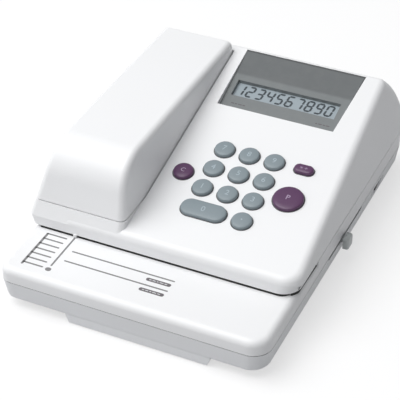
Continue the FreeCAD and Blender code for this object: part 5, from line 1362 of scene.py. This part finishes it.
    def window_edge(self, panel: PanelPlan, palette: Palette) -> bpy.types.Object:
        """Build the painted shade along the top and the right of the window plate: a dark strip where the recess's
        edge throws shade.

        Args:
            panel: The panel that the window lies in.
            palette: The materials.

        Returns:
            The piece.
        """
        bm = bmesh.new()
        (start, end), (left, right), side = self.window_ends, self.window_rear, self.window_edge_side
        under = end - self.window_edge_top
        outline = [(left, under), (right - side, under), (self.window_right - side, start),
                   (self.window_right, start), (right, end), (left, end)]
        corners = [bm.verts.new((across * MM, (up - panel.window_start) * MM, 0)) for across, up in outline]
        raised(bm, bm.faces.new(corners), self.window_edge_thickness * MM)
        place = panel.on_window(0.0, panel.window_start, self.window_lift)
        bmesh.ops.transform(bm, matrix=place, verts=bm.verts[:])
        outward(bm)
        return finished(bm, "window_edge", [palette["painted_shade_edge"]], Body.MACHINE.value)

    def build(self, caps: Sequence[Keycap], panel: PanelPlan, palette: Palette) -> None:
        """Build every strip.

        Args:
            caps: The keys.
            panel: The panel that they stand on.
            palette: The materials.
        """
        self.window_edge(panel, palette)
        self.groove_shade_strip(palette)
        self.seam_ring(palette)
        self.slot_mouth(palette)
        self.key_shade_rings(caps, panel, palette)


@dataclass
class SmallMarks:
    """Index tab, switch and inlet legends, grip ribs and the rating label."""

    tab: tuple[float, float, float] = (-66.2, 49.9, 35.7)
    tab_size: tuple[float, float, float] = (2.6, 1.6, 2.6)
    tab_soften: float = 0.5
    knob: tuple[float, float, float] = (101.95, 144.0, 24.0)
    ribs: Sequence[float] = (-2.6, 0.0, 2.6)
    rib_size: tuple[float, float, float] = (2.6, 0.9, 0.5)
    rib_soften: float = 0.2
    side_lean: float = math.atan(2.0 / 15.2)
    print_half: float = 0.02
    switch_marks: Sequence[tuple[str, float]] = (("I", 209.0), ("O", 234.0))
    switch_mark_x: float = 97.17
    switch_mark_z: float = 15.5
    switch_mark_size: float = 4.2
    inlet_text: str = "DC 6V"
    inlet_mark: tuple[float, float, float] = (77.0, 281.04, 14.6)
    inlet_mark_size: float = 4.4
    label_place: tuple[float, float, float] = (0.0, 176.0, 6.8)
    label_size: tuple[float, float] = (62.0, 26.0)
    label_corners: Sequence[float] = (2.0, 2.0, 2.0, 2.0)
    label_lift: float = 0.01
    label_thickness: float = 0.12
    label_lines: Sequence[tuple[str, float, float]] = (
        ("ELECTRONIC CHECK WRITER", 7.4, 4.0), ("DC 6V  1.5A", 1.2, 4.4), ("4 x R14  1.5V", -4.6, 4.0))
    label_print_level: float = 0.14
    label_print_half: float = 0.015
    arrow: tuple[float, float, float] = (4.65, 28.0, 1.9)
    arrow_radius: float = 5.0
    arrow_thickness: float = 0.4

    RIGHTWARD: ClassVar[Matrix] = Matrix(((0, 0, 1, 0), (1, 0, 0, 0), (0, 1, 0, 0), (0, 0, 0, 1)))
    REARWARD: ClassVar[Matrix] = Matrix(((-1, 0, 0, 0), (0, 0, 1, 0), (0, 1, 0, 0), (0, 0, 0, 1)))

    def index_tab(self, palette: Palette) -> bpy.types.Object:
        """Build the small pale tab above the table's pointer line.

        Args:
            palette: The materials.

        Returns:
            The piece.
        """
        bm = bmesh.new()
        plate(bm, [edge * MM for edge in self.tab_size], spot(*self.tab), self.tab_soften * MM)
        return finished(bm, "index_tab", [palette["case_white"]], Body.MACHINE.value)

    def knob_ribs(self, palette: Palette) -> bpy.types.Object:
        """Build the low ribs on top of the paper stop's knob.

        Args:
            palette: The materials.

        Returns:
            The piece.
        """
        bm = bmesh.new()
        x, y, z = self.knob
        for shift in self.ribs:
            plate(bm, [edge * MM for edge in self.rib_size], spot(x, y + shift, z), self.rib_soften * MM)
        return finished(bm, "knob_ribs", [palette["lever_grey"]], Body.STOP.value)

    def legends(self, palette: Palette) -> bpy.types.Object:
        """Build the switch's and the inlet's printed legends.

        Args:
            palette: The materials.

        Returns:
            The piece.
        """
        bm = bmesh.new()
        lean = Matrix.Rotation(self.side_lean, 4, "Y")
        for text, y in self.switch_marks:
            centre = Matrix.Translation(spot(self.switch_mark_x, y, self.switch_mark_z))
            join_mesh(bm, lettering(text, self.switch_mark_size, self.print_half),
                      centre @ lean @ self.RIGHTWARD)
        tip = Matrix.Rotation(-self.side_lean, 4, "X")
        place = Matrix.Translation(spot(*self.inlet_mark)) @ tip @ self.REARWARD
        join_mesh(bm, lettering(self.inlet_text, self.inlet_mark_size, self.print_half), place)
        return finished(bm, "side_legends", [palette["ink_grey"]], Body.MACHINE.value)

    def rating_label(self, palette: Palette) -> bpy.types.Object:
        """Build the label below the base, with its lines of text.

        Args:
            palette: The materials.

        Returns:
            The piece.
        """
        bm = bmesh.new()
        wide, deep = self.label_size
        face = rounded_sheet(bm, (-wide / 2, -deep / 2), (wide / 2, deep / 2), self.label_corners,
                             self.label_lift)
        raised(bm, face, self.label_thickness * MM)
        for text, up, size in self.label_lines:
            place = Matrix.Translation((0, up * MM, self.label_print_level * MM))
            join_mesh(bm, lettering(text, size, self.label_print_half), place, 1)
        under = Matrix.Translation(spot(*self.label_place)) @ Matrix.Rotation(math.pi, 4, "Y")
        bmesh.ops.transform(bm, matrix=under, verts=bm.verts[:])
        return finished(bm, "rating_label", [palette["label_silver"], palette["ink_dark"]],
                        Body.MACHINE.value)

    def door_arrow(self, palette: Palette) -> bpy.types.Object:
        """Build the raised arrow on the battery door.

        Args:
            palette: The materials.

        Returns:
            The piece.
        """
        bm = bmesh.new()
        made = bmesh.ops.create_circle(bm, cap_ends=True, segments=3, radius=self.arrow_radius * MM)
        raised(bm, made["verts"][0].link_faces[0], self.arrow_thickness * MM)
        under = Matrix.Translation(spot(*self.arrow)) @ Matrix.Rotation(math.pi, 4, "Y")
        bmesh.ops.transform(bm, matrix=under, verts=bm.verts[:])
        outward(bm)
        return finished(bm, "door_arrow", [palette["case_base"]], Body.DOOR.value)

    def build(self, palette: Palette) -> None:
        """Build every mark.

        Args:
            palette: The materials.
        """
        self.index_tab(palette)
        self.knob_ribs(palette)
        self.legends(palette)
        self.rating_label(palette)
        self.door_arrow(palette)


@dataclass
class Innards:
    """Type figures of the print wheel, the pinch roller's spring and the bands of the cells."""

    wheel: tuple[float, float, float] = (-62.0, 75.0, 51.3)
    type_radius: float = 16.8
    positions: int = 15
    figures: str = "0123456789*-#"
    figure_size: float = 5.4
    figure_half: float = 0.14
    spring: tuple[float, float] = (-39.65, 74.0)
    spring_ends: tuple[float, float] = (50.7, 56.1)
    spring_radius: float = 3.1
    wire_radius: float = 0.35
    wire_segments: int = 10
    turns: int = 4
    turn_steps: int = 28
    bracket: float = 56.5
    pressed: float = 2.0
    cell_radius: float = 13.1
    cell_rows: tuple[float, float] = (17.2, 44.2)
    cell_ends: tuple[float, float] = (4.65, 54.75)
    cell_height: float = 17.0
    band_length: float = 14.0
    band_middle: float = 10.5
    band_lift: tuple[float, float] = (0.02, 0.08)

    def type_figures(self, palette: Palette) -> bpy.types.Object:
        """Build the mirrored figures on the wheel's type blocks.

        Args:
            palette: The materials.

        Returns:
            The piece.
        """
        bm = bmesh.new()
        step = math.tau / self.positions
        out = Matrix.Translation((0, 0, self.type_radius * MM)) @ Matrix.Scale(-1, 4, (1, 0, 0))
        for number, figure in enumerate(self.figures):
            turn = (number - (len(self.figures) - 1) / 2) * step
            place = Matrix.Translation(spot(*self.wheel)) @ Matrix.Rotation(turn, 4, "Y") @ out
            join_mesh(bm, lettering(figure, self.figure_size, self.figure_half), place)
        bmesh.ops.remove_doubles(bm, verts=bm.verts[:], dist=MESH_GAP)
        outward(bm)
        return finished(bm, "type_figures", [palette["brass"]], Body.WHEEL.value)

    def pinch_spring(self, palette: Palette) -> bpy.types.Object:
        """Build the coil spring above the pinch roller's fork.

        Args:
            palette: The materials.

        Returns:
            The piece.
        """
        bm = bmesh.new()
        low, high = self.spring_ends
        x, y = self.spring
        wire = Matrix.Translation(spot(x + self.spring_radius, y, low)) @ Matrix.Rotation(math.pi / 2, 4, "X")
        made = bmesh.ops.create_circle(bm, cap_ends=False, segments=self.wire_segments,
                                       radius=self.wire_radius * MM, matrix=wire)
        steps = self.turn_steps * self.turns
        bmesh.ops.spin(bm, geom=made["verts"] + bm.edges[:], cent=spot(x, y, low), axis=(0, 0, 1),
                       dvec=(0, 0, (high - low) / steps * MM), angle=math.tau * self.turns, steps=steps,
                       use_merge=False)
        bmesh.ops.holes_fill(bm, edges=[edge for edge in bm.edges if edge.is_boundary], sides=0)
        outward(bm)
        piece = finished(bm, "pinch_spring_coil", [palette["turned_steel"]], Body.MACHINE.value)
        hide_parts("pinch_spring")
        top = tuple(spot(x, y, self.bracket))
        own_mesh(piece)
        return piece

    def cell_bands(self, palette: Palette) -> bpy.types.Object:
        """Build the coloured band at the positive end of each cell.

        Args:
            palette: The materials.

        Returns:
            The piece.
        """
        bm = bmesh.new()
        lying = Matrix.Rotation(math.pi / 2, 4, "Y")
        inner, outer = (self.cell_radius + lift for lift in self.band_lift)
        for row in self.cell_rows:
            for end in self.cell_ends:
                made = ring(bm, inner * MM, outer * MM, self.band_length * MM)
                place = Matrix.Translation(spot(end - self.band_middle, row, self.cell_height))
                bmesh.ops.transform(bm, matrix=place @ lying, verts=made)
        outward(bm)
        return finished(bm, "cell_bands", [palette["cell_band"]], Body.MACHINE.value)

    def build(self, palette: Palette) -> None:
        """Build the figures, the spring and the bands.

        Args:
            palette: The materials.
        """
        self.type_figures(palette)
        self.pinch_spring(palette)
        self.cell_bands(palette)


@dataclass
class CarriedOver:
    """Finishes of the construction model's own pieces."""

    finishes: dict[str, tuple[str, ...]] = field(default_factory=lambda: {
        "case_white": ("paper_table", "upper_housing", "print_cover", "paper_guide"),
        "case_base": ("base_housing", "battery_door"),
        "lever_grey": ("stop_lever",),
        "window_smoke": ("display_bezel",),
        "display_film": ("lcd_panel",),
        "black_plastic": ("lcd_holder", "switch_body", "power_switch", "dc_jack", "roller_cradle",
                          "pinch_holder", "type_wheel"),
        "dark_plastic": ("paper_stop", "shaft_bushes"),
        "silicone": ("keypad_membrane",),
        "board_lacquer": ("keypad_board", "main_board"),
        "cable_grey": ("ribbon_cable",),
        "sheet_steel": ("frame_plates", "head_brackets", "battery_contacts"),
        "turned_steel": ("frame_spacers", "print_shaft", "feed_shaft", "platen_shaft", "pinch_shaft",
                         "ink_shaft", "hinge_pins"),
        "screw_steel": ("case_screws", "board_screws"),
        "brass": ("motor_pinion",),
        "motor_can": ("drive_motor",),
        "nylon": ("print_gear", "reduction_gear", "feed_gear"),
        "rubber_black": ("feed_roller", "platen_roller", "pinch_roller", "rubber_feet"),
        "ink_felt": ("ink_roller",),
        "cell_sleeve": ("batteries",),
    })

    def build(self, palette: Palette) -> None:
        """Give each node its finish.

        Args:
            palette: The materials.
        """
        for name, nodes in self.finishes.items():
            for node in nodes:
                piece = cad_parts[node]
                piece.data.materials.clear()
                piece.data.materials.append(palette[name])
            LOG.info("%s: %s", name, ", ".join(nodes))


# ------------------------------------------------------------------ studio
@dataclass
class Studio:
    """Pale floor, soft light and the camera, in metres and degrees."""

    azimuth: float = 24.71
    elevation: float = 36.40
    distance: float = 1.04022
    target: tuple[float, float, float] = (-0.00172, -0.02545, 0.04274)
    lens: float = 131.65
    sensor: float = 36.0
    far_end: float = 50.0
    lamp_place: tuple[float, float, float] = (-0.72, -0.58, 1.88)
    lamp_power: float = 43.0
    lamp_size: float = 1.9
    lamp_colour: Colour = (1.0, 0.997, 0.99)
    floor_half: float = 6.0
    paper: Colour = (0.5, 0.5, 0.51)
    shade: Colour = (0.95, 0.95, 0.96)
    glow: float = 0.62
    air: tuple[float, float] = (0.53, 0.245)
    air_span: tuple[float, float] = (-0.7, 0.9)
    air_colour: Colour = (0.97, 0.985, 1)

    def camera(self) -> None:
        """Place the camera and look through it."""
        turn, rise = math.radians(self.azimuth), math.radians(self.elevation)
        back = Vector((math.sin(turn) * math.cos(rise), -math.cos(turn) * math.cos(rise), math.sin(rise)))
        data = bpy.data.cameras.new("camera")
        data.lens, data.sensor_width, data.sensor_fit = self.lens, self.sensor, "HORIZONTAL"
        data.clip_end = self.far_end
        camera = bpy.data.objects.new("camera", data)
        camera.location = Vector(self.target) + back * self.distance
        camera.rotation_euler = back.to_track_quat("Z", "Y").to_euler()
        bpy.context.scene.collection.objects.link(camera)
        bpy.context.scene.camera = camera

    def lamp(self) -> None:
        """Hang the soft square lamp, which faces the machine."""
        data = bpy.data.lights.new("key_lamp", "AREA")
        data.shape, data.size, data.energy, data.color = ("SQUARE", self.lamp_size, self.lamp_power,
                                                          self.lamp_colour)
        lamp = bpy.data.objects.new("key_lamp", data)
        lamp.location = self.lamp_place
        away = Vector(self.lamp_place) - Vector(self.target)
        lamp.rotation_euler = away.to_track_quat("Z", "Y").to_euler()
        bpy.context.scene.collection.objects.link(lamp)

    def floor(self) -> None:
        """Lay the pale floor, white to the camera and keeping a soft shadow."""
        material = bpy.data.materials.new("studio_floor")
        material.use_nodes = True
        material.node_tree.nodes.clear()
        sheet = NodeSheet(material.node_tree)
        paper = sheet.add("BsdfDiffuse", {"Color": (*self.paper, 1)})
        glow = sheet.add("Emission", {"Color": (1, 1, 1, 1), "Strength": 1.0})
        shade = sheet.add("BsdfDiffuse", {"Color": (*self.shade, 1)})
        pale = sheet.add("MixShader", {0: self.glow, 1: shade.outputs[0], 2: glow.outputs[0]})
        path = sheet.add("LightPath")
        seen = sheet.math("MAXIMUM", path.outputs["Is Camera Ray"], path.outputs["Is Glossy Ray"])
        mix = sheet.add("MixShader", {0: seen, 1: paper.outputs[0], 2: pale.outputs[0]})
        sheet.add("OutputMaterial", {"Surface": mix.outputs[0]})
        bm = bmesh.new()
        bmesh.ops.create_grid(bm, x_segments=2, y_segments=2, size=self.floor_half)
        mesh = bpy.data.meshes.new("floor")
        bm.to_mesh(mesh)
        bm.free()
        mesh.materials.append(material)
        floor = bpy.data.objects.new("floor", mesh)
        bpy.context.scene.collection.objects.link(floor)

    def world(self) -> None:
        """Fill the room with even light, white where it is seen."""
        world = bpy.data.worlds.new("studio_air")
        world.use_nodes = True
        world.node_tree.nodes.clear()
        sheet = NodeSheet(world.node_tree)
        path = sheet.add("LightPath")
        way = sheet.add("TexCoord").outputs["Generated"]
        across = sheet.add("SeparateXYZ", {"Vector": way}).outputs["X"]
        even = sheet.remap(across, *self.air_span, *self.air)
        shown = sheet.math("MAXIMUM", even, path.outputs["Is Camera Ray"])
        air = sheet.add("Background", {"Color": (*self.air_colour, 1), "Strength": shown})
        sheet.add("OutputWorld", {"Surface": air.outputs[0]})
        bpy.context.scene.world = world

    def build(self) -> None:
        """Set up the whole studio."""
        self.camera()
        self.floor()
        self.world()
        self.lamp()
        bpy.context.scene.view_settings.view_transform = "Standard"


def main() -> None:
    """Build every sub-assembly in order."""
    logging.basicConfig(level=logging.INFO, format="%(message)s")
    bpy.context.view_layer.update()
    panel = PanelPlan()
    display = Display()
    palette = Palette(panel.window_reach(display.upper_zone), panel.window_slope())
    CarriedOver().build(palette)
    keypad = Keypad()
    keypad.build(panel, palette)
    PaintedShadeStrips().build(keypad.caps(), panel, palette)
    SmallMarks().build(palette)
    Innards().build(palette)
    display.build(panel, palette)
    TrayPrinting().build(palette)
    Studio().build()


if __name__ == "__main__":
    main()
